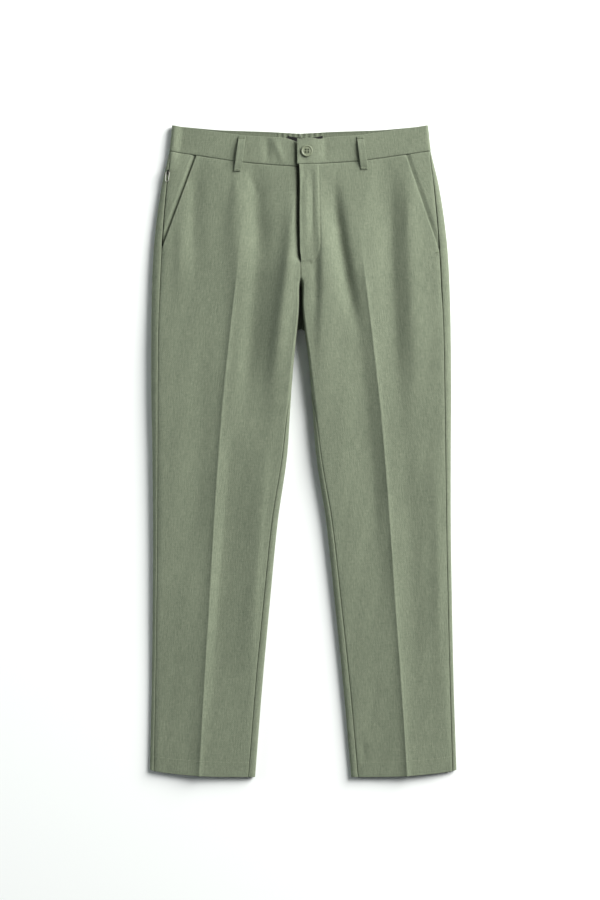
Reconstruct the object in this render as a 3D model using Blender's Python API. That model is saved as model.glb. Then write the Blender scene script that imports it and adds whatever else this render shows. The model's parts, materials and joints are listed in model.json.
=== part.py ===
"""Dress trousers lying flat on their back, front side up, with pressed creases.

Every solid is built in metres. The tables are in millimetres, measured on the garment:
"down" runs from the waistband's top to the hem, and "off" runs sideways from the centre
line, positive towards each side's own edge. side -1 is the wearer's right, at -X, and
side +1 is the wearer's left. The hem points to -Y, and the cloth lies on z = 0.
"""

import math
from collections import namedtuple

import bmesh
import bpy
import numpy as np
from mathutils import Matrix, Vector

MM = 0.001
LENGTH = 1046.0  # waistband top at the side to the lowest point of the hem
CENTRE_LEAN = 5.1  # the waist's centre lies this far to -X of the hem's centre
CLOTH = 1.2  # one layer
SEAM_GAP = 0.3
SEAM_HALF = 0.2  # half the space along a seam that runs over the rounded edge
LAYER_GAP = 0.45  # air left between pieces that lie on each other
RIGHT, LEFT = -1, 1

# Crotch: the fronts part at FORK_START, the valley between the legs is at its full depth
# from VALLEY_FLOOR_START, and the cloth between the legs ends at SADDLE.
FORK_START = 246.0
VALLEY_FLOOR_START = 268.0
SADDLE = 327.0
VALLEY_FLOOR = 3.3
LEG_ROUNDED = 372.0  # below this the inner edge is round from top to bottom

HEM_DEPTH = 24.0
HEM_CLOTH = 2.1  # the cloth turned up inside the hem
UNDER_LIFT = 1.7  # the loops under the back lift the waist by this much
UNDER_LIFT_HELD, UNDER_LIFT_GONE = 62.0, 112.0
INNER_STRIP = 12.0  # the first columns of a front lie within this of its inner edge
BACK_STRIP = 14.0  # and the last ones of a back within this of the centre seam

Section = namedtuple(
    "Section",
    "down half_width edge_height edge_reach crease crease_height"
    " gap inner_height inner_reach outseam_inset inseam_inset",
)
# gap is half the space between the legs. inseam_inset is how far in from the inner edge the
# inseam lies on top, or, below zero, how far down under that edge.
SECTIONS = [
    Section(0, 204.8, 11.0, 5.0, 80.0, 13.6, 0.0, 15.0, 12.0, 0.5, 0.0),
    Section(42, 209.6, 12.0, 5.5, 84.0, 14.6, 0.0, 16.0, 12.0, 0.8, 0.0),
    Section(58, 213.0, 12.4, 7.0, 85.5, 15.0, 0.0, 16.6, 12.0, 3.8, 0.0),
    Section(93, 221.3, 13.0, 9.5, 87.5, 16.1, 0.0, 18.0, 12.0, 7.8, 0.0),
    Section(131, 227.7, 13.6, 11.0, 90.5, 17.6, 0.0, 20.0, 12.0, 10.5, 0.0),
    Section(163, 232.0, 14.0, 12.0, 93.5, 19.0, 0.0, 22.0, 12.0, 12.2, 0.0),
    Section(197, 235.4, 14.5, 12.0, 97.2, 20.8, 0.0, 24.0, 12.0, 13.3, 0.0),
    Section(246, 238.2, 15.0, 12.0, 103.0, 22.0, 0.0, 27.0, 8.0, 13.5, 0.0),
    Section(252, 238.4, 15.0, 12.0, 103.7, 21.9, 1.2, 27.0, 5.0, 13.5, 0.0),
    Section(290, 239.5, 15.8, 12.0, 108.3, 21.0, 1.9, 27.0, 2.8, 12.7, 0.0),
    Section(327, 240.1, 17.0, 12.0, 112.6, 20.2, 5.6, 26.0, 2.8, 11.9, -0.1),
    Section(370, 240.4, 17.6, 11.5, 117.5, 19.2, 10.8, 24.0, 4.2, 11.5, -5.0),
    Section(430, 240.5, 17.2, 11.0, 124.0, 18.4, 15.9, 21.5, 6.5, 10.9, 0.1),
    Section(460, 240.2, 16.8, 10.5, 127.0, 18.0, 18.1, 20.0, 8.0, 10.3, 3.6),
    Section(520, 239.4, 15.8, 9.5, 132.0, 17.0, 22.2, 17.8, 8.5, 9.0, 7.2),
    Section(640, 238.9, 14.0, 8.5, 140.8, 15.6, 39.1, 15.0, 8.5, 7.3, 9.5),
    Section(760, 240.0, 12.2, 8.0, 148.3, 14.4, 51.4, 12.8, 8.0, 6.5, 10.1),
    Section(900, 242.4, 9.5, 7.0, 157.8, 13.0, 64.8, 10.8, 7.0, 6.0, 10.8),
    Section(1046, 246.4, 8.0, 6.0, 166.8, 11.0, 77.1, 9.0, 6.5, 6.4, 10.8),
]

Edge = namedtuple("Edge", "off front_top back_top front_low back_low")
# The waistband's edges: how far down each lies, from the centre to the side.
WAISTBAND_EDGES = [
    Edge(0, 23.8, 15.8, 66.0, 57.0),
    Edge(24, 21.8, 14.2, 65.0, 56.0),
    Edge(48, 20.6, 12.3, 63.4, 54.5),
    Edge(92, 17.6, 10.2, 59.7, 51.5),
    Edge(124, 13.2, 8.6, 55.4, 49.0),
    Edge(150, 9.4, 6.6, 51.4, 47.0),
    Edge(172, 6.2, 4.4, 48.0, 45.2),
    Edge(192, 3.0, 2.2, 44.9, 43.6),
    Edge(209.6, 0.0, 0.0, 42.2, 42.2),
]
BAND_TILT = 1.6  # the wearer's left half of the front seam sits higher at the centre
BAND_DROOP, BAND_DROOP_REACH = 3.6, 14.0  # the right half's top edge droops at the fly

Hem = namedtuple("Hem", "share down")  # share runs from the inner to the outer edge
HEM_EDGE = [
    Hem(0.0, 1046.0),
    Hem(0.3, 1045.6),
    Hem(0.6, 1043.2),
    Hem(0.8, 1040.3),
    Hem(0.95, 1036.8),
    Hem(1.0, 1034.6),
]

Fold = namedtuple("Fold", "off0 down0 off1 down1 off2 down2 left right height")
# The largest folds, each along a curve through three points: first the wearer's right leg,
# then the left. Here off is positive to +X. left and right are how far to each side of the
# curve the fold has fallen to a third of its height.
FOLDS = [
    Fold(-58.2, 122, -73.4, 290, -89.0, 522, 17, 26, -7.5),
    Fold(-3.7, 98, -25.3, 258, -51.9, 474, 11, 14, 7.0),
    Fold(-107.3, 26, -101.5, 146, -103.8, 290, 18, 18, 5.6),
    Fold(-70.5, 26, -69.4, 130, -66.7, 234, 12, 16, -4.8),
    Fold(-169.8, 34, -170.3, 146, -167.8, 282, 10, 18, -3.4),
    Fold(-156.5, 266, -164.1, 506, -175.4, 858, 24, 16, -3.0),
    Fold(-104.6, 442, -128.3, 706, -147.3, 1002, 10, 36, -6.0),
    Fold(-51.9, 474, -72.3, 706, -87.9, 970, 16, 8, 2.6),
    Fold(-214.2, -38, -214.5, 26, -211.6, 77, 40, 46, -3.0),
    Fold(49.3, 58, 64.7, 194, 97.4, 362, 14, 11, -9.0),
    Fold(34.7, 106, 35.7, 234, 26.6, 442, 8, 22, 4.2),
    Fold(72.5, 221, 104.9, 474, 120.7, 842, 36, 14, -7.0),
    Fold(140.7, 26, 144.6, 202, 160.5, 554, 24, 14, -6.4),
    Fold(171.1, 26, 175.1, 186, 186.4, 490, 11, 18, 3.6),
    Fold(161.0, 442, 174.1, 706, 174.3, 1002, 18, 18, -3.8),
    Fold(212.1, 474, 217.3, 706, 220.8, 986, 10, 14, 1.8),
]
FOLD_FADE = 1.25  # the ends of a fold run out over 1 / FOLD_FADE of each half
FOLD_CALM = 14.0  # no fold reaches nearer than this to the rounded outer edge
CREASE_RIDGE = 2.2
CREASE_SPREAD = 16.0
CREASE_STARTS, CREASE_FULL = 150.0, 330.0

FlyEdge = namedtuple("FlyEdge", "down off lift underlap")
# The left front laps over the right one: where its edge runs, how far it stands proud, and
# how far the right front reaches under it.
FLY = [
    FlyEdge(0, -5.0, 4.4, 15.0),
    FlyEdge(42, -4.5, 4.4, 15.0),
    FlyEdge(69, -2.4, 4.4, 14.0),
    FlyEdge(134, -2.4, 4.2, 14.0),
    FlyEdge(180, -2.0, 3.0, 13.0),
    FlyEdge(205, -1.2, 1.2, 4.0),
    FlyEdge(213, 0.15, 0.8, 0.15),
    FlyEdge(224, 0.15, 0.0, 0.15),
    FlyEdge(246, 0.15, 0.0, 0.15),
]
UNDERLAP_LEAST = 1.0  # where less would reach under, the fronts meet at the centre seam
FLY_LIFT_FLAT, FLY_LIFT_END = 16.0, 46.0  # the lift holds this far in, and is gone there
FLY_DIP = 6.0  # the right front sinks under the fly
FLY_DIP_REACH, FLY_DIP_RUN_OUT = 6.0, 12.0
FLY_FOLD_CLOTH = 0.28  # the fly's folded edge is thicker by this share of its lift

Pocket = namedtuple("Pocket", "side top_off top_down end_off end_down")
POCKETS = [
    Pocket(RIGHT, 166.6, 50.0, 222.0, 199.0),
    Pocket(LEFT, 170.0, 50.0, 221.0, 199.0),
]
FACING_SINK = 1.9  # the facing lies this far below the front's surface at the mouth
FACING_UNDERLAP = 8.0
FACING_RISE = 9.0  # it is back at the surface this far beyond the mouth
FACING_END = 197.0

Opening = namedtuple("Opening", "side start end half_gap")
SEAM_OPENINGS = [
    Opening(RIGHT, 52.0, 200.0, 1.0),
    Opening(LEFT, 92.0, 288.0, 0.9),
]
OPENING_EASE = 12.0

BAND_CLOTH = 2.2
BAND_PROUD = 0.3
BAND_DIP_SHARE = 0.6  # how much of the fly's dip the band follows
BAND_FRONT_STRIP = 30.0
BAND_TURN = 6.0  # the band's front becomes its back this close to the folded edge
GATHER_HEIGHT = 0.45
GATHER_PITCH = 10.5
GATHER_REACH, GATHER_RUN_OUT = 42.0, 8.0
GATHER_LOST = 0.7  # this share of the gathers is gone at the waist seam
BAND_LEVEL = 20.0  # the band's centre ends are read from the fly's table at this level

Loop = namedtuple("Loop", "name top_off top_down end_off end_down")
FRONT_LOOPS = [
    Loop("belt_loop_front_right", -92.5, 19.6, -100.3, 75.2),
    Loop("belt_loop_front_left", 96.3, 20.2, 102.6, 72.4),
]
BackLoop = namedtuple("BackLoop", "name off top_down")
BACK_LOOPS = [
    BackLoop("belt_loop_back_right", -118.0, 10.5),
    BackLoop("belt_loop_back_centre", 0.0, 17.0),
    BackLoop("belt_loop_back_left", 118.0, 10.5),
]
LOOP_WIDTH = 11.5
LOOP_CLOTH = 1.4
LOOP_ARCH = 3.0
LOOP_SQUARE = 0.7  # below 1, the arch rises fast at its ends and is flat along the middle
LOOP_SEWN = 0.08  # this share of a front loop is sewn down at each end
BACK_LOOP_LENGTH = 55.0
BACK_LOOP_CLOTH = 1.1

BUTTON_OFF, BUTTON_DOWN = 10.9, 43.8
BUTTON_RADIUS = 9.3
BUTTON_HOLE_SPACING = 4.2
BUTTON_HOLE_RADIUS = 0.95
ButtonRing = namedtuple("ButtonRing", "radius height")
# From the foot over the raised rim into the well; radius is a share of the button's own.
BUTTON_PROFILE = [
    ButtonRing(0.55, 0.0),
    ButtonRing(0.88, 0.5),
    ButtonRing(1.0, 1.5),
    ButtonRing(0.97, 2.3),
    ButtonRing(0.88, 2.8),
    ButtonRing(0.78, 2.7),
    ButtonRing(0.66, 2.0),
    ButtonRing(0.528, 1.8),
]

LABEL_WIDTH, LABEL_TOP, LABEL_END, LABEL_CLOTH = 56.0, 19.4, 46.0, 0.8
LABEL_OFF, LABEL_SAG = 8.4, 3.4

FLY_ZIP_START, FLY_ZIP_END = 74.0, 178.0
FLY_ZIP_OFF, FLY_ZIP_WIDTH, FLY_ZIP_CLOTH = 4.6, 7.0, 1.1

SIDE_ZIP_START, SIDE_ZIP_END = 62.0, 194.0
SIDE_ZIP_WIDTH, SIDE_ZIP_CLOTH = 7.0, 1.1
SIDE_ZIP_SINK, SIDE_ZIP_DEEP = 1.75, 3.8  # it dives under the pocket's end
SIDE_ZIP_DIVES, SIDE_ZIP_DIVED = 128.0, 158.0
SLIDER_DOWN = 76.5
SLIDER_LENGTH, SLIDER_WIDTH, SLIDER_HEIGHT = 7.4, 4.2, 1.5
SLIDER_FLOAT = 0.35  # clear of the cloth under it
SLIDER_LEVELS = (-4.0, 12.0)  # the slider and its pull lie along the seam between these
NECK_WIDTH, NECK_BOTTOM = 1.0, -1.2
BRIDGE_HALF_LENGTH, BRIDGE_HALF_WIDTH, BRIDGE_LEG, BRIDGE_TOP = 2.2, 0.9, 0.8, 0.8
PIVOT_CLEAR = 0.35
PULL_LENGTH, PULL_WIDTH, PULL_WIRE, PULL_CORNER = 15.5, 6.4, 1.0, 1.3

# Rows of points down each panel, closest where the shape changes most.
ROWS = [
    66, 84, 104, 124, 144, 163, 181, 199, 215, 230, 246, 252, 258, 266, 280, 304, 327,
    332, 340, 352, 372, 400, 430, 445, 460, 500, 550, 620, 700, 790, 880, 960, 1021, 1023, 1046,
]
WAIST_ROWS_END, HEM_ROWS_START = 163.0, 880.0  # between these the rows lie straight across
ARC_STEP = math.radians(7.5)
NORMAL_REACH = 0.5  # how far along the cloth its direction is read

# Columns of points across each piece, stretch by stretch.
FRONT_COLUMNS = [4, 5, 8]  # inner edge, to the crease, to the outer edge
BACK_COLUMNS = [5, 4, 4]  # round the side, along the ground, to the inseam
FACING_COLUMNS = [1, 4]  # under the front, then in sight
BAND_COLUMNS = [5, 8, 6, 5, 12]  # centre front, front, round the side, back, gathers
BAND_ROWS = 4

Colour = namedtuple("Colour", "red green blue roughness metallic")
COLOURS = {
    "cloth": Colour(0.235, 0.275, 0.190, 0.9, 0.0),
    "button": Colour(0.215, 0.245, 0.170, 0.45, 0.0),
    "label": Colour(0.012, 0.012, 0.013, 0.8, 0.0),
    "zip_tape": Colour(0.060, 0.072, 0.050, 0.85, 0.0),
    "zip_metal": Colour(0.42, 0.42, 0.40, 0.35, 1.0),
}


# ---------------------------------------------------------------- reading the tables


def monotone_slopes(xs, ys):
    """Slopes for a cubic through the points that never overshoots them."""
    steps = np.diff(xs)
    rises = np.diff(ys) / steps
    slopes = np.zeros(len(xs))
    slopes[0], slopes[-1] = rises[0], rises[-1]
    for i in range(1, len(xs) - 1):
        if rises[i - 1] * rises[i] > 0:
            before, after = steps[i - 1] + 2 * steps[i], 2 * steps[i - 1] + steps[i]
            slopes[i] = (before + after) / (before / rises[i - 1] + after / rises[i])
    return slopes


class Curves:
    """A table read smoothly: every column as a function of its first one."""

    def __init__(self, rows):
        self.row_type = type(rows[0])
        self.table = np.array(rows, dtype=float)
        self.keys = self.table[:, 0]
        columns = [monotone_slopes(self.keys, column) for column in self.table.T]
        self.slopes = np.array(columns).T

    def at(self, key):
        """One row of the table at a key, held at its first and last row beyond them."""
        key = min(max(key, self.keys[0]), self.keys[-1])
        i = min(max(int(np.searchsorted(self.keys, key)) - 1, 0), len(self.keys) - 2)
        step = self.keys[i + 1] - self.keys[i]
        t = (key - self.keys[i]) / step
        row = (
            self.table[i] * (1 + 2 * t) * (1 - t) ** 2
            + self.slopes[i] * step * t * (1 - t) ** 2
            + self.table[i + 1] * t * t * (3 - 2 * t)
            + self.slopes[i + 1] * step * t * t * (t - 1)
        )
        return self.row_type(*row)


SECTION = Curves(SECTIONS)
BAND = Curves(WAISTBAND_EDGES)
HEM = Curves(HEM_EDGE)
FLY_EDGE = Curves(FLY)


def ease(t):
    """0 below t = 0, 1 above t = 1, smooth between; t is a number or an array."""
    t = np.clip(t, 0.0, 1.0)
    return t * t * (3 - 2 * t)


def mix(a, b, t):
    return a + (b - a) * t


def centre_line(down):
    return -CENTRE_LEAN * (1 - down / LENGTH)


def place(side, off, down, height):
    """A point on the garment in metres."""
    x = centre_line(down) + side * off
    return Vector((x, LENGTH / 2 - down, height)) * MM


# ---------------------------------------------------------------- the cloth's own shape


def fold_height(offset, down):
    """Sum of the folds at places on one level, where offset is positive to +X."""
    total = 0.0
    for fold in FOLDS:
        if not fold.down0 < down < fold.down2:
            continue
        a, b, c = fold.down0, fold.down1, fold.down2
        line = (
            fold.off0 * (down - b) * (down - c) / ((a - b) * (a - c))
            + fold.off1 * (down - a) * (down - c) / ((b - a) * (b - c))
            + fold.off2 * (down - a) * (down - b) / ((c - a) * (c - b))
        )
        along = (down - a) / (b - a) if down < b else (c - down) / (c - b)
        across = (offset - line) / np.where(offset < line, fold.left, fold.right)
        total = total + fold.height * ease(FOLD_FADE * along) * np.exp(-across * across)
    return total


def under_height(down):
    """The underside: flat on the ground but for the waist, which lies on its loops."""
    share = (down - UNDER_LIFT_HELD) / (UNDER_LIFT_GONE - UNDER_LIFT_HELD)
    return UNDER_LIFT * (1 - ease(share))


def plateau_height(side, off, down):
    """Height of the upper surface between its two rounded edges, at one or many places."""
    s = SECTION.at(down)
    inner = s.gap + s.inner_reach
    outer = s.half_width - s.edge_reach
    outside = off > s.crease
    reach = np.where(outside, outer - s.crease, s.crease - inner)
    edge = np.where(outside, s.edge_height, s.inner_height)
    share = np.clip(np.abs(off - s.crease) / reach, 0.0, 1.0)
    height = edge + (s.crease_height - edge) * (1 - share) ** 1.5
    pressed = ease((down - CREASE_STARTS) / (CREASE_FULL - CREASE_STARTS))
    height += pressed * CREASE_RIDGE * np.exp(-np.abs(off - s.crease) / CREASE_SPREAD)
    calm = ease((outer - off) / FOLD_CALM)
    return height + calm * fold_height(side * off, down)


def valley_depth(down):
    """Height of the cloth on the centre line between the legs."""
    share = ease((down - FORK_START) / (VALLEY_FLOOR_START - FORK_START))
    return mix(SECTION.at(down).inner_height, VALLEY_FLOOR, share)


def arc(off, height, reach, rise, start, end):
    """Points on an ellipse from one angle to another."""
    count = max(2, round(abs(end - start) / ARC_STEP) + 1)
    return [
        (off + reach * math.cos(a), height + rise * math.sin(a))
        for a in np.linspace(start, end, count)
    ]


def ring(side, down, start_off):
    """The cloth's outer line round one side at one level, and its marks.

    It runs from the centre or the inner edge over the top, round the outer edge and back
    along the bottom. marks gives arc lengths of places on it.
    """
    s = SECTION.at(down)
    under = under_height(down)
    quarter = math.pi / 2
    inner = s.gap + s.inner_reach
    outer = s.half_width - s.edge_reach
    inner_top = plateau_height(side, inner, down)
    points = []
    if down <= FORK_START:
        begin = start_off
    elif down <= SADDLE:
        floor = valley_depth(down)
        points += [(start_off, floor), (0.5 * s.gap, floor)]
        points += arc(inner, floor, -s.inner_reach, inner_top - floor, 0, quarter)
        begin = inner
    else:
        round_share = ease((down - SADDLE) / (LEG_ROUNDED - SADDLE))
        waist_of_edge = mix(VALLEY_FLOOR, s.inner_height / 2, round_share)
        low_reach = min(s.inner_reach, 1.2 * waist_of_edge + 0.5)
        low_rise = waist_of_edge - under
        points += arc(s.gap + low_reach, waist_of_edge, -low_reach, low_rise, -quarter, 0)
        rise = inner_top - waist_of_edge
        points += arc(inner, waist_of_edge, -s.inner_reach, rise, 0, quarter)[1:]
        begin = inner
    steps = np.linspace(begin, outer, 61)
    if down > FORK_START:
        steps = steps[1:]
    points += zip(steps, plateau_height(side, steps, down))
    outer_top = plateau_height(side, outer, down)
    middle = (outer_top + under) / 2
    outer_arc = arc(outer, middle, s.edge_reach, outer_top - middle, quarter, -quarter)
    tip_index = len(points) - 1 + len(outer_arc) // 2
    points += outer_arc[1:]
    bottom_index = len(points) - 1
    bottom_end = points[0][0] if down > SADDLE else SEAM_GAP / 2
    points += [(off, under) for off in np.linspace(outer, bottom_end, 31)[1:]]
    points = np.array(points)
    lengths = np.concatenate([[0], np.cumsum(np.hypot(*np.diff(points, axis=0).T))])

    top = slice(0, tip_index + 1)

    def on_top(off):
        first = int(np.argmin(points[top, 0]))
        return float(np.interp(off, points[first:tip_index + 1, 0],
                               lengths[first:tip_index + 1]))

    marks = {
        "start": 0.0,
        "end": lengths[-1],
        "crease": on_top(s.crease),
        "outseam": on_top(s.half_width - s.outseam_inset),
        "tip": lengths[tip_index],
        "bottom": lengths[bottom_index],
        "inner_top": on_top(inner if down > FORK_START else start_off + INNER_STRIP),
        "inseam": 0.0,
    }
    if down > SADDLE:
        inset = s.inseam_inset
        if inset > 0:
            marks["inseam"] = on_top(s.gap + inset)
        else:
            edge_index = int(np.argmin(points[top, 0]))
            low = slice(0, edge_index + 1)
            marks["inseam"] = float(
                np.interp(waist_of_edge + inset, points[low, 1], lengths[low])
            )
        marks["inner_top"] = max(marks["inner_top"], marks["inseam"] + INNER_STRIP)
    return points, lengths, marks, on_top


def on_ring(points, lengths, at, closed):
    """A point on a ring at an arc length, and the direction out of the cloth."""
    def read(s):
        if closed:
            s = s % lengths[-1]
        return np.array([np.interp(s, lengths, column) for column in points.T])

    along = read(at + NORMAL_REACH) - read(at - NORMAL_REACH)
    normal = np.array([-along[1], along[0]]) / np.hypot(*along)
    return read(at), normal


# ---------------------------------------------------------------- seams and edges


def seam_half_gap(side, down):
    """Half the space along the side seam, wider where it is left open."""
    half = SEAM_HALF
    for opening in SEAM_OPENINGS:
        if opening.side == side:
            inside = min(down - opening.start, opening.end - down) / OPENING_EASE
            half = mix(half, opening.half_gap, ease(inside))
    return half


def pocket_mouth(side, down):
    """The mouth's distance from the centre line; beyond it the facing shows."""
    pocket = next(p for p in POCKETS if p.side == side)
    share = (down - pocket.top_down) / (pocket.end_down - pocket.top_down)
    return mix(pocket.top_off, pocket.end_off, share)


def hem_down(off, down):
    s = SECTION.at(down)
    return HEM.at((off - s.gap) / (s.half_width - s.gap)).down


def band_top(side, off):
    """How far down the front of the waistband's top edge lies."""
    droop = BAND_DROOP * math.exp(-((off / BAND_DROOP_REACH) ** 2)) if side == RIGHT else 0.0
    return BAND.at(off).front_top + droop


def waist_seam(side, off, back):
    """How far down the waistband's lower edge lies."""
    off = abs(off)
    if back:
        return BAND.at(off).back_low
    tilt = BAND_TILT * (1 - off / WAISTBAND_EDGES[-1].off)
    return BAND.at(off).front_low - side * tilt


def row_down(side, row, off, back):
    """How far down a row of points lies at a place: it follows the waist seam and the hem."""
    seam = waist_seam(side, off, back) + SEAM_GAP
    if row < WAIST_ROWS_END:
        share = 1 - ease((row - ROWS[0]) / (WAIST_ROWS_END - ROWS[0]))
        return row + share * (seam - ROWS[0])
    if row > HEM_ROWS_START:
        share = ease((row - HEM_ROWS_START) / (LENGTH - HEM_DEPTH - HEM_ROWS_START))
        return row + share * (hem_down(off, row) - LENGTH)
    return row


def spread(marks, counts):
    """Arc lengths along a run of marks, each stretch cut into its count of pieces."""
    out = [marks[0]]
    for start, end, count in zip(marks, marks[1:], counts):
        out += [start + (end - start) * (i + 1) / count for i in range(count)]
    return out


# ---------------------------------------------------------------- meshes


def finish(name, kind):
    """The Principled material of one object."""
    colour = COLOURS[kind]
    material = bpy.data.materials.new(name + "_" + kind)
    material.use_nodes = True
    shader = material.node_tree.nodes["Principled BSDF"]
    shader.inputs["Base Color"].default_value = (colour.red, colour.green, colour.blue, 1)
    shader.inputs["Roughness"].default_value = colour.roughness
    shader.inputs["Metallic"].default_value = colour.metallic
    return material


def add_object(name, mesh, kind, smooth_angle=40.0, parent=None):
    """Turns a bmesh into a named object with its faces pointing out."""
    bmesh.ops.recalc_face_normals(mesh, faces=mesh.faces)
    if mesh.calc_volume(signed=True) < 0:
        bmesh.ops.reverse_faces(mesh, faces=mesh.faces)
    data = bpy.data.meshes.new(name)
    mesh.to_mesh(data)
    mesh.free()
    data.shade_smooth()
    data.set_sharp_from_angle(angle=math.radians(smooth_angle))
    data.materials.append(finish(name, kind))
    thing = bpy.data.objects.new(name, data)
    bpy.context.scene.collection.objects.link(thing)
    if parent:
        thing.parent = parent
    return thing


def closed_sheet(name, outer, inner, kind="cloth"):
    """A sheet of cloth from two grids of points: its outer and its inner surface."""
    rows, columns = len(outer), len(outer[0])
    mesh = bmesh.new()
    out = [[mesh.verts.new(p) for p in row] for row in outer]
    back = [[mesh.verts.new(p) for p in row] for row in inner]
    for r in range(rows - 1):
        for c in range(columns - 1):
            mesh.faces.new((out[r][c], out[r][c + 1], out[r + 1][c + 1], out[r + 1][c]))
            mesh.faces.new((back[r][c], back[r + 1][c], back[r + 1][c + 1], back[r][c + 1]))
    rim = [(0, c) for c in range(columns)]
    rim += [(r, columns - 1) for r in range(1, rows)]
    rim += [(rows - 1, c) for c in range(columns - 2, -1, -1)]
    rim += [(r, 0) for r in range(rows - 2, 0, -1)]
    for (r0, c0), (r1, c1) in zip(rim, rim[1:] + rim[:1]):
        mesh.faces.new((out[r1][c1], out[r0][c0], back[r0][c0], back[r1][c1]))
    return add_object(name, mesh, kind, smooth_angle=75.0)


def two_layers(side, down, point, normal, sink, thickness):
    """The outer and inner point of a sheet that lies sink below the garment's surface."""
    outer = point - normal * sink
    inner = outer - normal * thickness
    return place(side, outer[0], down, outer[1]), place(side, inner[0], down, inner[1])


def panel_cloth(row):
    """The cloth's thickness at a row: doubled where the hem is turned up."""
    return HEM_CLOTH if ROWS[row] > LENGTH - HEM_DEPTH else CLOTH


def fly_lift(off, down):
    """How far the left front stands proud over the right one."""
    fade = 1 - ease((off - FLY_LIFT_FLAT) / (FLY_LIFT_END - FLY_LIFT_FLAT))
    return FLY_EDGE.at(down).lift * fade if down < FORK_START else 0.0


def fly_dip(off, down):
    """How far the right front sinks as it runs under the left one."""
    if down > FLY[-2].down:
        return 0.0
    ends = ease((FLY[-2].down - down) / FLY_DIP_RUN_OUT)
    return FLY_DIP * ends * math.exp(-max(off, 0.0) / FLY_DIP_REACH)


def front_start(side, down):
    """Where a front begins, from the centre line."""
    if down >= FORK_START:
        return SEAM_GAP / 2
    if side == LEFT:
        return FLY_EDGE.at(down).off
    underlap = FLY_EDGE.at(down).underlap
    return -underlap if underlap > UNDERLAP_LEAST else SEAM_GAP / 2


def front_points(side, column, row):
    """The outer and inner point of a front at one column and row."""
    off = 100.0
    for _ in range(4):
        down = row_down(side, ROWS[row], off, back=False)
        points, lengths, marks, on_top = ring(side, down, front_start(side, down))
        half_gap = seam_half_gap(side, down)
        if down < POCKETS[0].end_down:
            outer_end = on_top(pocket_mouth(side, down))
        else:
            outer_end = marks["outseam"] - half_gap
        begin = marks["inseam"] + SEAM_HALF if down > SADDLE else 0.0
        stops = spread([begin, marks["inner_top"], marks["crease"], outer_end], FRONT_COLUMNS)
        point, normal = on_ring(points, lengths, stops[column], down > SADDLE)
        off = point[0]
    thickness, sink = panel_cloth(row), 0.0
    if side == LEFT and down < FORK_START:
        sink = -fly_lift(off, down)
        thickness -= FLY_FOLD_CLOTH * sink
    elif side == RIGHT:
        sink = fly_dip(off, down)
    return two_layers(side, down, point, normal, sink, thickness)


def front_panel(name, side):
    grid = [
        [front_points(side, column, row) for column in range(sum(FRONT_COLUMNS) + 1)]
        for row in range(len(ROWS))
    ]
    return closed_sheet(name, *[[[p[i] for p in row] for row in grid] for i in (0, 1)])


def back_points(side, column, row):
    """The outer and inner point of a back at one column and row."""
    off, is_back = 100.0, 1.0
    for _ in range(4):
        over = row_down(side, ROWS[row], off, back=False)
        below = row_down(side, ROWS[row], off, back=True)
        down = mix(over, below, is_back)
        points, lengths, marks, _ = ring(side, down, SEAM_GAP / 2)
        begin = marks["outseam"] + seam_half_gap(side, down)
        closed = down > SADDLE
        if closed:
            end = marks["end"] + marks["inseam"] - SEAM_HALF
            turn = marks["end"]
        else:
            end = marks["end"]
            turn = marks["end"] - BACK_STRIP
        stops = spread([begin, marks["bottom"], turn, end], BACK_COLUMNS)
        point, normal = on_ring(points, lengths, stops[column], closed)
        off = point[0]
        is_back = ease((stops[column] - marks["outseam"]) / (marks["bottom"] - marks["outseam"]))
    return two_layers(side, down, point, normal, 0.0, panel_cloth(row))


def back_panel(name, side):
    grid = [
        [back_points(side, column, row) for column in range(sum(BACK_COLUMNS) + 1)]
        for row in range(len(ROWS))
    ]
    return closed_sheet(name, *[[[p[i] for p in row] for row in grid] for i in (0, 1)])


def pocket_facing(name, side):
    """The piece under the slant mouth. It rises to the surface towards the side seam."""
    outer, inner = [], []
    for row in [r for r in ROWS if r < FACING_END] + [FACING_END]:
        line = []
        for column in range(sum(FACING_COLUMNS) + 1):
            off = 200.0
            for _ in range(3):
                down = row_down(side, row, off, back=False)
                points, lengths, marks, on_top = ring(side, down, SEAM_GAP / 2)
                mouth = pocket_mouth(side, down)
                stops = spread(
                    [on_top(mouth - FACING_UNDERLAP), on_top(mouth),
                     marks["outseam"] - seam_half_gap(side, down)],
                    FACING_COLUMNS,
                )
                point, normal = on_ring(points, lengths, stops[column], False)
                off = point[0]
            sink = FACING_SINK * (1 - ease((off - mouth) / FACING_RISE))
            line.append(two_layers(side, down, point, normal, sink, CLOTH))
        outer.append([p[0] for p in line])
        inner.append([p[1] for p in line])
    return closed_sheet(name, outer, inner)


def band_start(side):
    end = FLY_EDGE.at(BAND_LEVEL)
    return end.off if side == LEFT else -end.underlap


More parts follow.
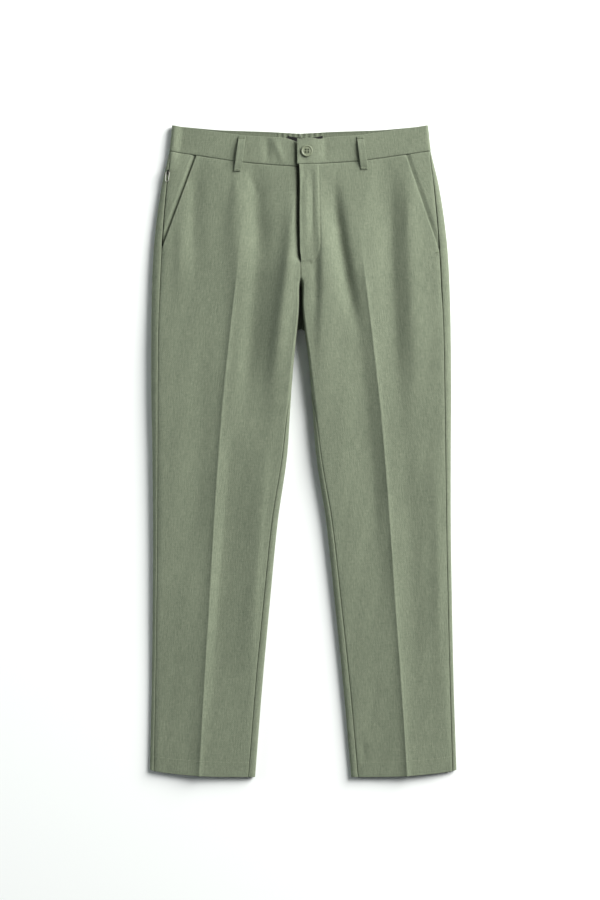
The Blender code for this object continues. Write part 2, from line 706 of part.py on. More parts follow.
def waistband(name, side):
    """One half of the waistband, from the centre front round the side to the centre back."""
    grid = []
    for row in range(BAND_ROWS):
        line = []
        for column in range(sum(BAND_COLUMNS) + 1):
            share = row / (BAND_ROWS - 1)
            down = 40.0
            for _ in range(3):
                points, lengths, marks, on_top = ring(side, down, band_start(side))
                back_turn = marks["end"] - (GATHER_REACH - SEAM_GAP / 2)
                stops = spread(
                    [0.0, on_top(BAND_FRONT_STRIP),
                     on_top(SECTION.at(down).half_width - BAND_TURN),
                     marks["bottom"], back_turn, marks["end"]],
                    BAND_COLUMNS,
                )
                at = stops[column]
                point, normal = on_ring(points, lengths, at, False)
                is_back = ease((at - marks["tip"] + BAND_TURN) / (2 * BAND_TURN))
                off = abs(point[0])
                top = mix(band_top(side, off), BAND.at(off).back_top, is_back)
                low = mix(waist_seam(side, off, False), waist_seam(side, off, True), is_back)
                down = mix(top, low, share)
            sink, thickness = -BAND_PROUD, BAND_CLOTH
            if is_back < 0.5 and side == LEFT:
                sink -= fly_lift(point[0], down)
            elif is_back < 0.5:
                sink += fly_dip(point[0], down) * BAND_DIP_SHARE
            elif off < GATHER_REACH:
                wave = math.cos(2 * math.pi * off / GATHER_PITCH)
                fade = ease((GATHER_REACH - off) / GATHER_RUN_OUT) * (1 - GATHER_LOST * share)
                thickness += GATHER_HEIGHT * fade * wave
            line.append(two_layers(side, down, point, normal, sink, thickness))
        grid.append(line)
    return closed_sheet(name, *[[[p[i] for p in row] for row in grid] for i in (0, 1)])


# ---------------------------------------------------------------- loops, button, label


def surface_height(offset, down):
    """The highest cloth at a place on the front, where offset is positive to +X."""
    side = LEFT if offset > FLY_EDGE.at(down).off else RIGHT
    off = side * offset
    height = plateau_height(side, off, down)
    if side == LEFT:
        height += fly_lift(off, down)
    if down < waist_seam(side, off, False):
        height += BAND_PROUD
    return height


def strip(name, path, width, thickness, kind="cloth"):
    """A flat strip: path gives the offset, the way down and the height of its underside."""
    outer, inner = [], []
    for i, (offset, down, height) in enumerate(path):
        before, after = path[max(i - 1, 0)], path[min(i + 1, len(path) - 1)]
        slope = Vector((0.0, -(after[1] - before[1]), after[2] - before[2])).normalized()
        up = Vector((1, 0, 0)).cross(slope)
        up = up if up.z > 0 else -up
        rows = []
        for edge in (-width / 2, 0.0, width / 2):
            rows.append(place(1, offset + edge, down, height))
        inner.append(rows)
        outer.append([p + up * thickness * MM for p in rows])
    return closed_sheet(name, outer, inner, kind)


def front_loop(loop):
    """A loop sewn down at both ends that arches over the waistband."""
    path = []
    for i in range(11):
        t = i / 10
        offset, down = mix(loop.top_off, loop.end_off, t), mix(loop.top_down, loop.end_down, t)
        free = min(max((t - LOOP_SEWN) / (1 - 2 * LOOP_SEWN), 0), 1)
        arch = LOOP_ARCH * math.sin(math.pi * free) ** LOOP_SQUARE
        base = max(
            surface_height(offset + dx, down + dy)
            for dx in (-LOOP_WIDTH / 2, 0, LOOP_WIDTH / 2)
            for dy in (-3.0, 0, 3.0)
        )
        path.append((offset, down, base + LAYER_GAP + arch))
    return strip(loop.name, path, LOOP_WIDTH, LOOP_CLOTH)


def back_loop(loop):
    """A loop pressed flat between the back and the ground."""
    path = [
        (loop.off, loop.top_down + BACK_LOOP_LENGTH * i / 4, 0.0)
        for i in range(5)
    ]
    return strip(loop.name, path, LOOP_WIDTH, BACK_LOOP_CLOTH)


def turned(profile, sides):
    """A bmesh turned about Z from (radius, height) points; the axis ends are closed."""
    mesh = bmesh.new()
    rings = []
    for radius, height in profile:
        rings.append([
            mesh.verts.new((radius * MM * math.cos(a), radius * MM * math.sin(a), height * MM))
            for a in (2 * math.pi * i / sides for i in range(sides))
        ])
    for low, high in zip(rings, rings[1:]):
        for i in range(sides):
            j = (i + 1) % sides
            mesh.faces.new((low[i], low[j], high[j], high[i]))
    mesh.faces.new(rings[0][::-1])
    mesh.faces.new(rings[-1])
    return mesh


def waist_button():
    """A four-hole button with a raised rim, on the waistband's lapped end."""
    profile = [(BUTTON_RADIUS * ring.radius, ring.height) for ring in BUTTON_PROFILE]
    button = add_object("waist_button", turned(profile, 36), "button")
    cutters = []
    half = BUTTON_HOLE_SPACING / 2
    for x, y in ((-half, -half), (half, -half), (half, half), (-half, half)):
        mesh = turned([(BUTTON_HOLE_RADIUS, -2.0), (BUTTON_HOLE_RADIUS, 5.0)], 12)
        bmesh.ops.translate(mesh, verts=mesh.verts, vec=Vector((x, y, 0)) * MM)
        cutters.append(mesh)
    joined = bmesh.new()
    for mesh in cutters:
        data = bpy.data.meshes.new("hole")
        mesh.to_mesh(data)
        joined.from_mesh(data)
        bpy.data.meshes.remove(data)
        mesh.free()
    holes = add_object("button_holes", joined, "button")
    holes.hide_render = True
    holes.display_type = "WIRE"
    cut = button.modifiers.new("holes", "BOOLEAN")
    cut.operation = "DIFFERENCE"
    cut.object = holes
    base = max(
        surface_height(BUTTON_OFF + BUTTON_RADIUS * math.cos(a),
                       BUTTON_DOWN + BUTTON_RADIUS * math.sin(a))
        for a in np.linspace(0, 2 * math.pi, 13)
    )
    spot = place(1, BUTTON_OFF, BUTTON_DOWN, base + LAYER_GAP)
    button.location = spot
    holes.location = spot


def inner_label():
    """The bare label on the inside of the back waistband."""
    outer, inner = [], []
    height = UNDER_LIFT - BAND_PROUD + BAND_CLOTH + GATHER_HEIGHT + LAYER_GAP
    for share in (0.0, 0.5, 1.0):
        low_row, high_row = [], []
        for i in range(9):
            across = i / 8 - 0.5
            sag = LABEL_SAG * (1 - share) * (1 - 4 * across * across)
            down = mix(LABEL_TOP, LABEL_END, share) + sag
            low_row.append(place(1, LABEL_OFF + LABEL_WIDTH * across, down, height))
            high_row.append(place(1, LABEL_OFF + LABEL_WIDTH * across, down, height + LABEL_CLOTH))
        inner.append(low_row)
        outer.append(high_row)
    closed_sheet("inner_label", outer, inner, "label")


# ---------------------------------------------------------------- zips


def fly_zip():
    """The closed zip between the two fronts, under the fly's edge."""
    outer, inner = [], []
    for i in range(9):
        down = mix(FLY_ZIP_START, FLY_ZIP_END, i / 8)
        low_row, high_row = [], []
        for edge in (-FLY_ZIP_WIDTH / 2, 0.0, FLY_ZIP_WIDTH / 2):
            offset = FLY_ZIP_OFF + edge
            floor = plateau_height(RIGHT, -offset, down) - fly_dip(-offset, down)
            low_row.append(place(1, offset, down, floor + LAYER_GAP))
            high_row.append(place(1, offset, down, floor + LAYER_GAP + FLY_ZIP_CLOTH))
        inner.append(low_row)
        outer.append(high_row)
    closed_sheet("fly_zip", outer, inner, "zip_tape")


def seam_point(down):
    """The wearer's right side seam at one level: its point and the way out of the cloth."""
    points, lengths, marks, _ = ring(RIGHT, down, SEAM_GAP / 2)
    return points, lengths, marks["outseam"]


def side_zip_tape():
    """The zip's tape and chain, under the open side seam."""
    outer, inner = [], []
    for i in range(15):
        down = mix(SIDE_ZIP_START, SIDE_ZIP_END, i / 14)
        dive = ease((down - SIDE_ZIP_DIVES) / (SIDE_ZIP_DIVED - SIDE_ZIP_DIVES))
        sink = mix(SIDE_ZIP_SINK, SIDE_ZIP_DEEP, dive)
        points, lengths, seam = seam_point(down)
        line = []
        for edge in (-0.5, -0.17, 0.17, 0.5):
            point, normal = on_ring(points, lengths, seam + edge * SIDE_ZIP_WIDTH, False)
            line.append(two_layers(RIGHT, down, point, normal, sink, SIDE_ZIP_CLOTH))
        outer.append([p[0] for p in line])
        inner.append([p[1] for p in line])
    closed_sheet("side_zip_tape", outer, inner, "zip_tape")


def zip_frame():
    """Where the slider sits: an empty with X down the seam, Y across it and Z out."""
    spots = []
    for down in (SLIDER_DOWN + level for level in SLIDER_LEVELS):
        points, lengths, seam = seam_point(down)
        point, normal = on_ring(points, lengths, seam, False)
        spots.append((place(RIGHT, point[0], down, point[1]), normal))
    along = (spots[1][0] - spots[0][0]).normalized()
    normal = Vector((RIGHT * spots[0][1][0], 0.0, spots[0][1][1]))
    across = normal.cross(along).normalized()
    out = along.cross(across)
    points, lengths, seam = seam_point(SLIDER_DOWN)
    point, _ = on_ring(points, lengths, seam, False)
    frame = Matrix((along, across, out)).transposed().to_4x4()
    frame.translation = place(RIGHT, point[0], SLIDER_DOWN, point[1])
    holder = bpy.data.objects.new("zip_place", None)
    bpy.context.scene.collection.objects.link(holder)
    holder.matrix_world = frame
    return holder


def block(mesh, low, high, chamfer=0.0):
    """Adds a box between two corners in millimetres, its long edges cut back by chamfer."""
    made = bmesh.ops.create_cube(mesh, size=1.0)["verts"]
    low, high = Vector(low) * MM, Vector(high) * MM
    for vert in made:
        vert.co = Vector(mix(low[i], high[i], vert.co[i] + 0.5) for i in range(3))
    if chamfer:
        edges = {e for v in made for e in v.link_edges}
        bmesh.ops.bevel(mesh, geom=list(edges), offset=chamfer * MM, segments=2,
                        affect="EDGES", profile=0.5)


def zip_slider(holder):
    """The slider: a body, a neck down to the chain, and the arch that holds the pull."""
    top = SLIDER_FLOAT + SLIDER_HEIGHT
    arch_inside = top + 2 * PIVOT_CLEAR + PULL_WIRE
    arch_top = arch_inside + BRIDGE_TOP
    half_length, half_width = SLIDER_LENGTH / 2, SLIDER_WIDTH / 2
    leg_outer, leg_inner = BRIDGE_HALF_LENGTH, BRIDGE_HALF_LENGTH - BRIDGE_LEG
    wide, sunk = BRIDGE_HALF_WIDTH, 0.5
    Piece = namedtuple("Piece", "low high chamfer")
    pieces = [
        Piece((-half_length, -half_width, SLIDER_FLOAT), (half_length, half_width, top), 0.4),
        Piece((-0.8 * half_length, -NECK_WIDTH / 2, NECK_BOTTOM),
              (0.8 * half_length, NECK_WIDTH / 2, SLIDER_FLOAT + sunk), 0.0),
        Piece((-leg_outer, -wide, top - sunk), (-leg_inner, wide, arch_top), 0.15),
        Piece((leg_inner, -wide, top - sunk), (leg_outer, wide, arch_top), 0.15),
        Piece((-leg_outer + 0.2, -wide + 0.05, arch_inside),
              (leg_outer - 0.2, wide - 0.05, arch_top - 0.05), 0.0),
    ]
    slider = None
    for i, piece in enumerate(pieces):
        mesh = bmesh.new()
        block(mesh, piece.low, piece.high, piece.chamfer)
        name = "slider_part_%d" % i if slider else "side_zip_slider"
        thing = add_object(name, mesh, "zip_metal", parent=holder)
        if slider is None:
            slider = thing
            continue
        thing.hide_render = True
        thing.display_type = "WIRE"
        join = slider.modifiers.new(name, "BOOLEAN")
        join.operation = "UNION"
        join.object = thing


def pull_outline():
    """The middle of the pull's wire: two small corners at the bar and a round far end."""
    half = (PULL_WIDTH - PULL_WIRE) / 2
    end = PULL_LENGTH - PULL_WIDTH / 2
    quarter = math.pi / 2
    Bend = namedtuple("Bend", "x y radius start sweep steps")
    bends = [
        Bend(PULL_CORNER, PULL_CORNER - half, PULL_CORNER, -math.pi, quarter, 4),
        Bend(end, 0.0, half, -quarter, math.pi, 9),
        Bend(PULL_CORNER, half - PULL_CORNER, PULL_CORNER, quarter, quarter, 4),
    ]
    line = []
    for bend in bends:
        for a in np.linspace(bend.start, bend.start + bend.sweep, bend.steps):
            line.append(Vector((bend.x + bend.radius * math.cos(a),
                                bend.y + bend.radius * math.sin(a), 0.0)))
    return line


def zip_pull(holder):
    """The wire pull: a long ring whose top bar turns in the slider's arch."""
    pivot = bpy.data.objects.new("pull_pivot", None)
    bpy.context.scene.collection.objects.link(pivot)
    pivot.parent = holder
    height = SLIDER_FLOAT + SLIDER_HEIGHT + PIVOT_CLEAR + PULL_WIRE / 2
    pivot.location = Vector((0, 0, height)) * MM
    rest = math.atan2(height - SLIDER_FLOAT - PULL_WIRE / 2, PULL_LENGTH)
    pivot.rotation_euler = (0.0, rest, 0.0)
    line, sides = pull_outline(), 8
    mesh = bmesh.new()
    rings = []
    for i, middle in enumerate(line):
        along = (line[(i + 1) % len(line)] - line[i - 1]).normalized()
        across = Vector((along.y, -along.x, 0.0))
        rings.append([
            mesh.verts.new((middle + (across * math.cos(b) + Vector((0, 0, math.sin(b))))
                            * PULL_WIRE / 2) * MM)
            for b in (2 * math.pi * k / sides for k in range(sides))
        ])
    for first, second in zip(rings, rings[1:] + rings[:1]):
        for k in range(sides):
            n = (k + 1) % sides
            mesh.faces.new((first[k], second[k], second[n], first[n]))
    add_object("side_zip_pull", mesh, "zip_metal", parent=pivot)


# ---------------------------------------------------------------- the whole garment


def main():
    for thing in list(bpy.data.objects):
        bpy.data.objects.remove(thing)
    for side, word in ((RIGHT, "right"), (LEFT, "left")):
        front_panel("front_" + word, side)
        back_panel("back_" + word, side)
        waistband("waistband_" + word, side)
        pocket_facing("pocket_facing_" + word, side)
    for loop in FRONT_LOOPS:
        front_loop(loop)
    for loop in BACK_LOOPS:
        back_loop(loop)
    waist_button()
    inner_label()
    fly_zip()
    side_zip_tape()
    holder = zip_frame()
    zip_slider(holder)
    zip_pull(holder)


main()
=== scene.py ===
"""Looks of a pair of dress trousers lying flat on their back, front side up.

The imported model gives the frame. The cloth pieces are built again here on the same
sections, with finer rows, all the folds, rolled seams and sewn detail. Sizes are in
millimetres on the garment: "down" runs from the waistband's top to the hem, and "off" runs
sideways from the centre line, positive towards each side's own edge. "offset" is the same
distance but positive to +X. Mesh points are in metres.
"""

import json
import logging
import math
from collections.abc import Iterable
from dataclasses import astuple, dataclass, fields
from enum import Enum
from typing import ClassVar, Generic, TypeVar

import bpy
import numpy as np
from bpy.types import ID, Material, Mesh, Node, NodeSocket, NodeTree, Object
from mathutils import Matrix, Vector
from mathutils.bvhtree import BVHTree

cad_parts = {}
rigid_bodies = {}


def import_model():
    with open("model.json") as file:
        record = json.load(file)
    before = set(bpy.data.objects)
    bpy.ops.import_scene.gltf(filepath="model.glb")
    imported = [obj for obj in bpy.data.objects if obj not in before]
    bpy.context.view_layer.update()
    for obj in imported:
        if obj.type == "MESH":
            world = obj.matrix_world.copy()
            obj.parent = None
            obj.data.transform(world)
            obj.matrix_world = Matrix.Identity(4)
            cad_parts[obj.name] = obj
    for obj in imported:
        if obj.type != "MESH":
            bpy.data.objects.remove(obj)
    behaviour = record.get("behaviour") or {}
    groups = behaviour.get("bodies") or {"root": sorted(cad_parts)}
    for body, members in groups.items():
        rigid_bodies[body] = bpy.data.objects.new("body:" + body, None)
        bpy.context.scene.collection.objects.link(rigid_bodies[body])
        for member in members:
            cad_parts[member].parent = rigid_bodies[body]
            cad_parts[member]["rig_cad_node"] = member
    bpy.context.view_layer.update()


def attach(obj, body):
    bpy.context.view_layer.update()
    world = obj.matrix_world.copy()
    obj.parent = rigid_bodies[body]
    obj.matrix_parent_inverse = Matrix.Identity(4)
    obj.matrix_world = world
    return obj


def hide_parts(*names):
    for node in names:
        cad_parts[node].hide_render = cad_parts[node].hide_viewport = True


LOG = logging.getLogger("trousers")
Array = np.ndarray
PointRows = Array | list[Array]
Row = TypeVar("Row")
MM = 0.001


class Side(Enum):
    """A side of the garment, as its wearer has it, with the way it lies on X."""

    RIGHT = -1
    LEFT = 1

    @property
    def word(self) -> str:
        """The side's name in node names."""
        return self.name.lower()


class Slot(Enum):
    """The record's material slots."""

    CLOTH = "cloth"
    BUTTON = "button"
    LABEL = "label"
    ZIP_TAPE = "zip_tape"


# ---------------- the garment's tables


@dataclass(frozen=True)
class Section:
    """The cloth's outline at one level, from the centre line out."""

    down: float
    half_width: float
    edge_height: float
    edge_reach: float
    crease: float
    crease_height: float
    gap: float
    inner_height: float
    inner_reach: float
    outseam_inset: float
    inseam_inset: float


SECTIONS = (
    Section(0, 204.8, 11.0, 5.0, 80.0, 13.6, 0.0, 15.0, 12.0, 0.5, 0.0),
    Section(42, 209.6, 12.0, 5.5, 84.0, 14.6, 0.0, 16.0, 12.0, 0.8, 0.0),
    Section(58, 213.0, 12.4, 7.0, 85.5, 15.0, 0.0, 16.6, 12.0, 3.8, 0.0),
    Section(93, 221.3, 13.0, 9.5, 87.5, 16.1, 0.0, 18.0, 12.0, 7.8, 0.0),
    Section(131, 227.7, 13.6, 11.0, 90.5, 17.6, 0.0, 20.0, 12.0, 10.5, 0.0),
    Section(163, 232.0, 14.0, 12.0, 93.5, 19.0, 0.0, 22.0, 12.0, 12.2, 0.0),
    Section(197, 235.4, 14.5, 12.0, 97.2, 20.8, 0.0, 24.0, 12.0, 13.3, 0.0),
    Section(246, 238.2, 15.0, 12.0, 103.0, 22.0, 0.0, 27.0, 8.0, 13.5, 0.0),
    Section(252, 238.4, 15.0, 12.0, 103.7, 21.9, 1.2, 27.0, 5.0, 13.5, 0.0),
    Section(290, 239.5, 15.8, 12.0, 108.3, 21.0, 1.9, 27.0, 2.8, 12.7, 0.0),
    Section(327, 240.1, 17.0, 12.0, 112.6, 20.2, 5.6, 26.0, 2.8, 11.9, -0.1),
    Section(370, 240.4, 17.6, 11.5, 117.5, 19.2, 10.8, 24.0, 4.2, 11.5, -5.0),
    Section(430, 240.5, 17.2, 11.0, 124.0, 18.4, 15.9, 21.5, 6.5, 10.9, 0.1),
    Section(460, 240.2, 16.8, 10.5, 127.0, 18.0, 18.1, 20.0, 8.0, 10.3, 3.6),
    Section(520, 239.4, 15.8, 9.5, 132.0, 17.0, 22.2, 17.8, 8.5, 9.0, 7.2),
    Section(640, 238.9, 14.0, 8.5, 140.8, 15.6, 39.1, 15.0, 8.5, 7.3, 9.5),
    Section(760, 240.0, 12.2, 8.0, 148.3, 14.4, 51.4, 12.8, 8.0, 6.5, 10.1),
    Section(900, 242.4, 9.5, 7.0, 157.8, 13.0, 64.8, 10.8, 7.0, 6.0, 10.8),
    Section(1046, 246.4, 8.0, 6.0, 166.8, 11.0, 77.1, 9.0, 6.5, 6.4, 10.8),
)


@dataclass(frozen=True)
class BandEdge:
    """How far down the waistband's four edges lie, at a distance from the centre."""

    off: float
    front_top: float
    back_top: float
    front_low: float
    back_low: float


BAND_EDGES = (
    BandEdge(0, 23.8, 13.9, 66.0, 57.0),
    BandEdge(24, 21.8, 12.6, 65.0, 56.0),
    BandEdge(48, 20.6, 11.2, 63.4, 54.5),
    BandEdge(92, 17.6, 9.7, 59.7, 51.5),
    BandEdge(124, 13.2, 8.6, 55.4, 49.0),
    BandEdge(150, 9.4, 6.6, 51.4, 47.0),
    BandEdge(172, 6.2, 4.4, 48.0, 45.2),
    BandEdge(192, 3.0, 2.2, 44.9, 43.6),
    BandEdge(209.6, 0.0, 0.0, 42.2, 42.2),
)


@dataclass(frozen=True)
class HemEdge:
    """The hem's line; share runs from the leg's inner to its outer edge."""

    share: float
    down: float


HEM_EDGES = (
    HemEdge(0.0, 1046.0),
    HemEdge(0.3, 1045.6),
    HemEdge(0.6, 1043.2),
    HemEdge(0.8, 1040.3),
    HemEdge(0.95, 1036.8),
    HemEdge(1.0, 1034.6),
)


@dataclass(frozen=True)
class FlyEdge:
    """The lapped front edge at one level."""

    down: float
    off: float
    lift: float
    underlap: float


FLY_EDGES = (
    FlyEdge(0, -5.0, 4.4, 15.0),
    FlyEdge(42, -4.5, 4.4, 15.0),
    FlyEdge(69, -2.4, 4.4, 14.0),
    FlyEdge(134, -2.4, 4.2, 14.0),
    FlyEdge(180, -2.0, 3.0, 13.0),
    FlyEdge(205, -1.2, 1.2, 4.0),
    FlyEdge(213, 0.15, 0.8, 0.15),
    FlyEdge(224, 0.15, 0.0, 0.15),
    FlyEdge(246, 0.15, 0.0, 0.15),
)


@dataclass(frozen=True)
class Fold:
    """A soft ridge, or a trough if its height is below zero, on a curve of three points.

    The offsets are from the centre line, positive to +X. left and right are how far to each
    side of the curve the fold has fallen to a third of its height.
    """

    off0: float
    down0: float
    off1: float
    down1: float
    off2: float
    down2: float
    left: float
    right: float
    height: float


FOLDS = (
    # The large ones, which the solids have too; six are a little lower here than there,
    # where the light shows them strongly. First the wearer's right leg,
    Fold(-58.2, 122, -73.4, 290, -89.0, 522, 17, 26, -7.5),
    Fold(-3.7, 98, -25.3, 258, -51.9, 474, 11, 14, 7.0),
    Fold(-107.3, 44, -101.5, 146, -103.8, 290, 18, 18, 5.0),
    Fold(-70.5, 50, -69.4, 138, -66.7, 234, 12, 16, -4.4),
    Fold(-169.8, 34, -170.3, 146, -167.8, 282, 10, 18, -3.4),
    Fold(-156.5, 266, -164.1, 506, -175.4, 858, 24, 16, -1.8),
    Fold(-104.6, 442, -128.3, 706, -147.3, 1002, 10, 36, -4.6),
    Fold(-51.9, 474, -72.3, 706, -87.9, 970, 16, 8, 2.6),
    Fold(-214.2, -38, -214.5, 26, -211.6, 77, 40, 46, -3.0),
    # then the left.
    Fold(49.3, 58, 64.7, 194, 97.4, 362, 14, 11, -9.0),
    Fold(34.7, 106, 35.7, 234, 26.6, 442, 8, 22, 4.2),
    Fold(72.5, 221, 104.9, 474, 120.7, 842, 36, 14, -4.6),
    Fold(140.7, 26, 144.6, 202, 160.5, 554, 24, 14, -6.4),
    Fold(171.1, 26, 175.1, 186, 186.4, 490, 11, 18, 3.6),
    Fold(161.0, 442, 174.1, 706, 174.3, 1002, 18, 18, -2.8),
    Fold(212.1, 474, 217.3, 706, 220.8, 986, 10, 14, 1.8),
    # Small ones on the legs.
    Fold(-191.0, 122, -193.0, 202, -195.1, 298, 8, 8, 1.5),
    Fold(24.6, 202, 24.4, 250, 24.1, 306, 7, 8, -2.0),
    # Below the belt loops and beside the fly.
    Fold(-84.0, 70, -76.5, 94, -69.0, 120, 5, 5, -1.0),
    Fold(-112.6, 64, -112.6, 108, -112.0, 152, 8, 8, -1.0),
    Fold(18.0, 52, 19.0, 118, 19.0, 222, 7, 5, -2.6),
    Fold(8.0, 60, 8.5, 140, 9.0, 222, 5, 4, 0.9),
    Fold(45.0, 40, 46.0, 96, 48.0, 160, 9, 14, 2.0),
    Fold(-1.0, 26, -9.9, 122, -21.4, 202, 22, 7, 3.8),
    # At the hems.
    Fold(97.7, 984, 97.7, 1006, 97.0, 1028, 5, 5, -0.9),
    Fold(123.6, 862, 113.0, 930, 103.0, 1000, 7, 7, -0.9),
    Fold(-181.0, 976, -181.0, 1008, -181.0, 1040, 14, 14, -0.8),
    # On the waistband.
    Fold(-208.0, -38, -208.0, 26, -207.0, 68, 30, 52, -2.4),
    Fold(-52.0, 14, -52.5, 40, -53.0, 66, 6, 6, -2.2),
    Fold(-45.0, 16, -34.0, 44, -25.0, 72, 5, 5, 1.6),
    Fold(40.5, 14, 40.0, 40, 39.0, 66, 5, 5, -0.8),
)


@dataclass(frozen=True)
class PocketMouth:
    """The slant line of a pocket's mouth."""

    top_off: float
    top_down: float
    end_off: float
    end_down: float


POCKETS = {
    Side.RIGHT: PocketMouth(166.6, 50.0, 222.0, 199.0),
    Side.LEFT: PocketMouth(170.0, 50.0, 221.0, 199.0),
}


@dataclass(frozen=True)
class SeamOpening:
    """A stretch of side seam that stands open."""

    start: float
    end: float
    half_gap: float


SEAM_OPENINGS = {
    Side.RIGHT: SeamOpening(52.0, 200.0, 0.6),
    Side.LEFT: SeamOpening(92.0, 288.0, 0.45),
}


# ---------------- reading the tables


def ease(t: Array | float) -> Array | float:
    """0 below t = 0, 1 above t = 1, smooth between."""
    t = np.clip(t, 0.0, 1.0)
    return t * t * (3 - 2 * t)


def mix(a: Array | float, b: Array | float, t: Array | float) -> Array | float:
    """The value a share t of the way from a to b."""
    return a + (b - a) * t


class Curves(Generic[Row]):
    """A table read smoothly: every column as a function of its first one."""

    def __init__(self, rows: tuple[Row, ...]) -> None:
        """Works out each column's slopes.

        Args:
            rows: The table's rows, all of one dataclass, with their keys rising.
        """
        self.row_type = type(rows[0])
        self.names = [field.name for field in fields(rows[0])]
        self.table = np.array([astuple(row) for row in rows], dtype=float)
        self.keys = self.table[:, 0]
        self.slopes = np.array([self._slopes(column) for column in self.table.T]).T

    def _slopes(self, values: Array) -> Array:
        """Slopes of one column for a cubic that never overshoots its points.

        Args:
            values: The column's values.

        Returns:
            The slope at each row.
        """
        steps = np.diff(self.keys)
        rises = np.diff(values) / steps
        slopes = np.zeros(len(values))
        slopes[0], slopes[-1] = rises[0], rises[-1]
        for i in range(1, len(values) - 1):
            if rises[i - 1] * rises[i] > 0:
                before, after = steps[i - 1] + 2 * steps[i], 2 * steps[i - 1] + steps[i]
                slopes[i] = (before + after) / (before / rises[i - 1] + after / rises[i])
        return slopes

    def _read(self, keys: Array, columns: slice | int) -> Array:
        """The cubic's values at some keys, held at the table's two ends.

        Args:
            keys: Where to read.
            columns: The column or columns to read.

        Returns:
            The values.
        """
        keys = np.clip(keys, self.keys[0], self.keys[-1])
        i = np.clip(np.searchsorted(self.keys, keys) - 1, 0, len(self.keys) - 2)
        step = self.keys[i + 1] - self.keys[i]
        t = (keys - self.keys[i]) / step
        return (
            self.table[i, columns] * (1 + 2 * t) * (1 - t) ** 2
            + self.slopes[i, columns] * step * t * (1 - t) ** 2
            + self.table[i + 1, columns] * t * t * (3 - 2 * t)
            + self.slopes[i + 1, columns] * step * t * t * (t - 1)
        )

    def at(self, key: float) -> Row:
        """One row of the table, as its own dataclass."""
        return self.row_type(*self._read(key, slice(None)))

    def column(self, name: str, keys: Array) -> Array:
        """One column at many keys."""
        return self._read(np.asarray(keys, dtype=float), self.names.index(name))


# ---------------- the cloth's own shape


@dataclass
class Ring:
    """The cloth's outer line round one side at one level.

    It runs from the centre or the inner edge over the top, round the outer edge and back
    along the bottom. marks gives arc lengths of places on it, and tip is the number of the
    point at the outer edge.
    """

    points: Array
    lengths: Array
    marks: dict[str, float]
    tip: int
    closed: bool

    def on_top(self, off: float) -> float:
        """The arc length of a place on the upper surface, by its distance from the centre."""
        top = slice(int(np.argmin(self.points[: self.tip + 1, 0])), self.tip + 1)
        return float(np.interp(off, self.points[top, 0], self.lengths[top]))

    def read(self, at: Array) -> Array:
        """Points as (off, height) at arc lengths, which may run on past a closed ring's end."""
        if self.closed:
            at = at % self.lengths[-1]
        return np.stack([np.interp(at, self.lengths, c) for c in self.points.T], axis=-1)

    def with_normals(self, at: Array, reach: float = 0.5) -> tuple[Array, Array]:
        """Points at arc lengths, and the directions out of the cloth.

        Args:
            at: Arc lengths in millimetres.
            reach: How far along the cloth its direction is read.

        Returns:
            The points and the unit normals, both as (off, height).
        """
        along = self.read(at + reach) - self.read(at - reach)
        normal = np.stack([-along[:, 1], along[:, 0]], axis=-1)
        return self.read(at), normal / np.linalg.norm(normal, axis=1, keepdims=True)


def arc(off: float, height: float, reach: float, rise: float, start: float,
        end: float) -> list[tuple[float, float]]:
    """Points on an ellipse from one angle to another, about 3 degrees apart.

    Args:
        off: Its middle's distance from the centre line.
        height: Its middle's height.
        reach: Half its width; below zero it runs the other way.
        rise: Half its height.
        start: The first angle.
        end: The last angle.

    Returns:
        The points, as (off, height).
    """
    count = max(2, round(abs(end - start) / math.radians(3)) + 1)
    angles = np.linspace(start, end, count)
    return list(zip(off + reach * np.cos(angles), height + rise * np.sin(angles)))


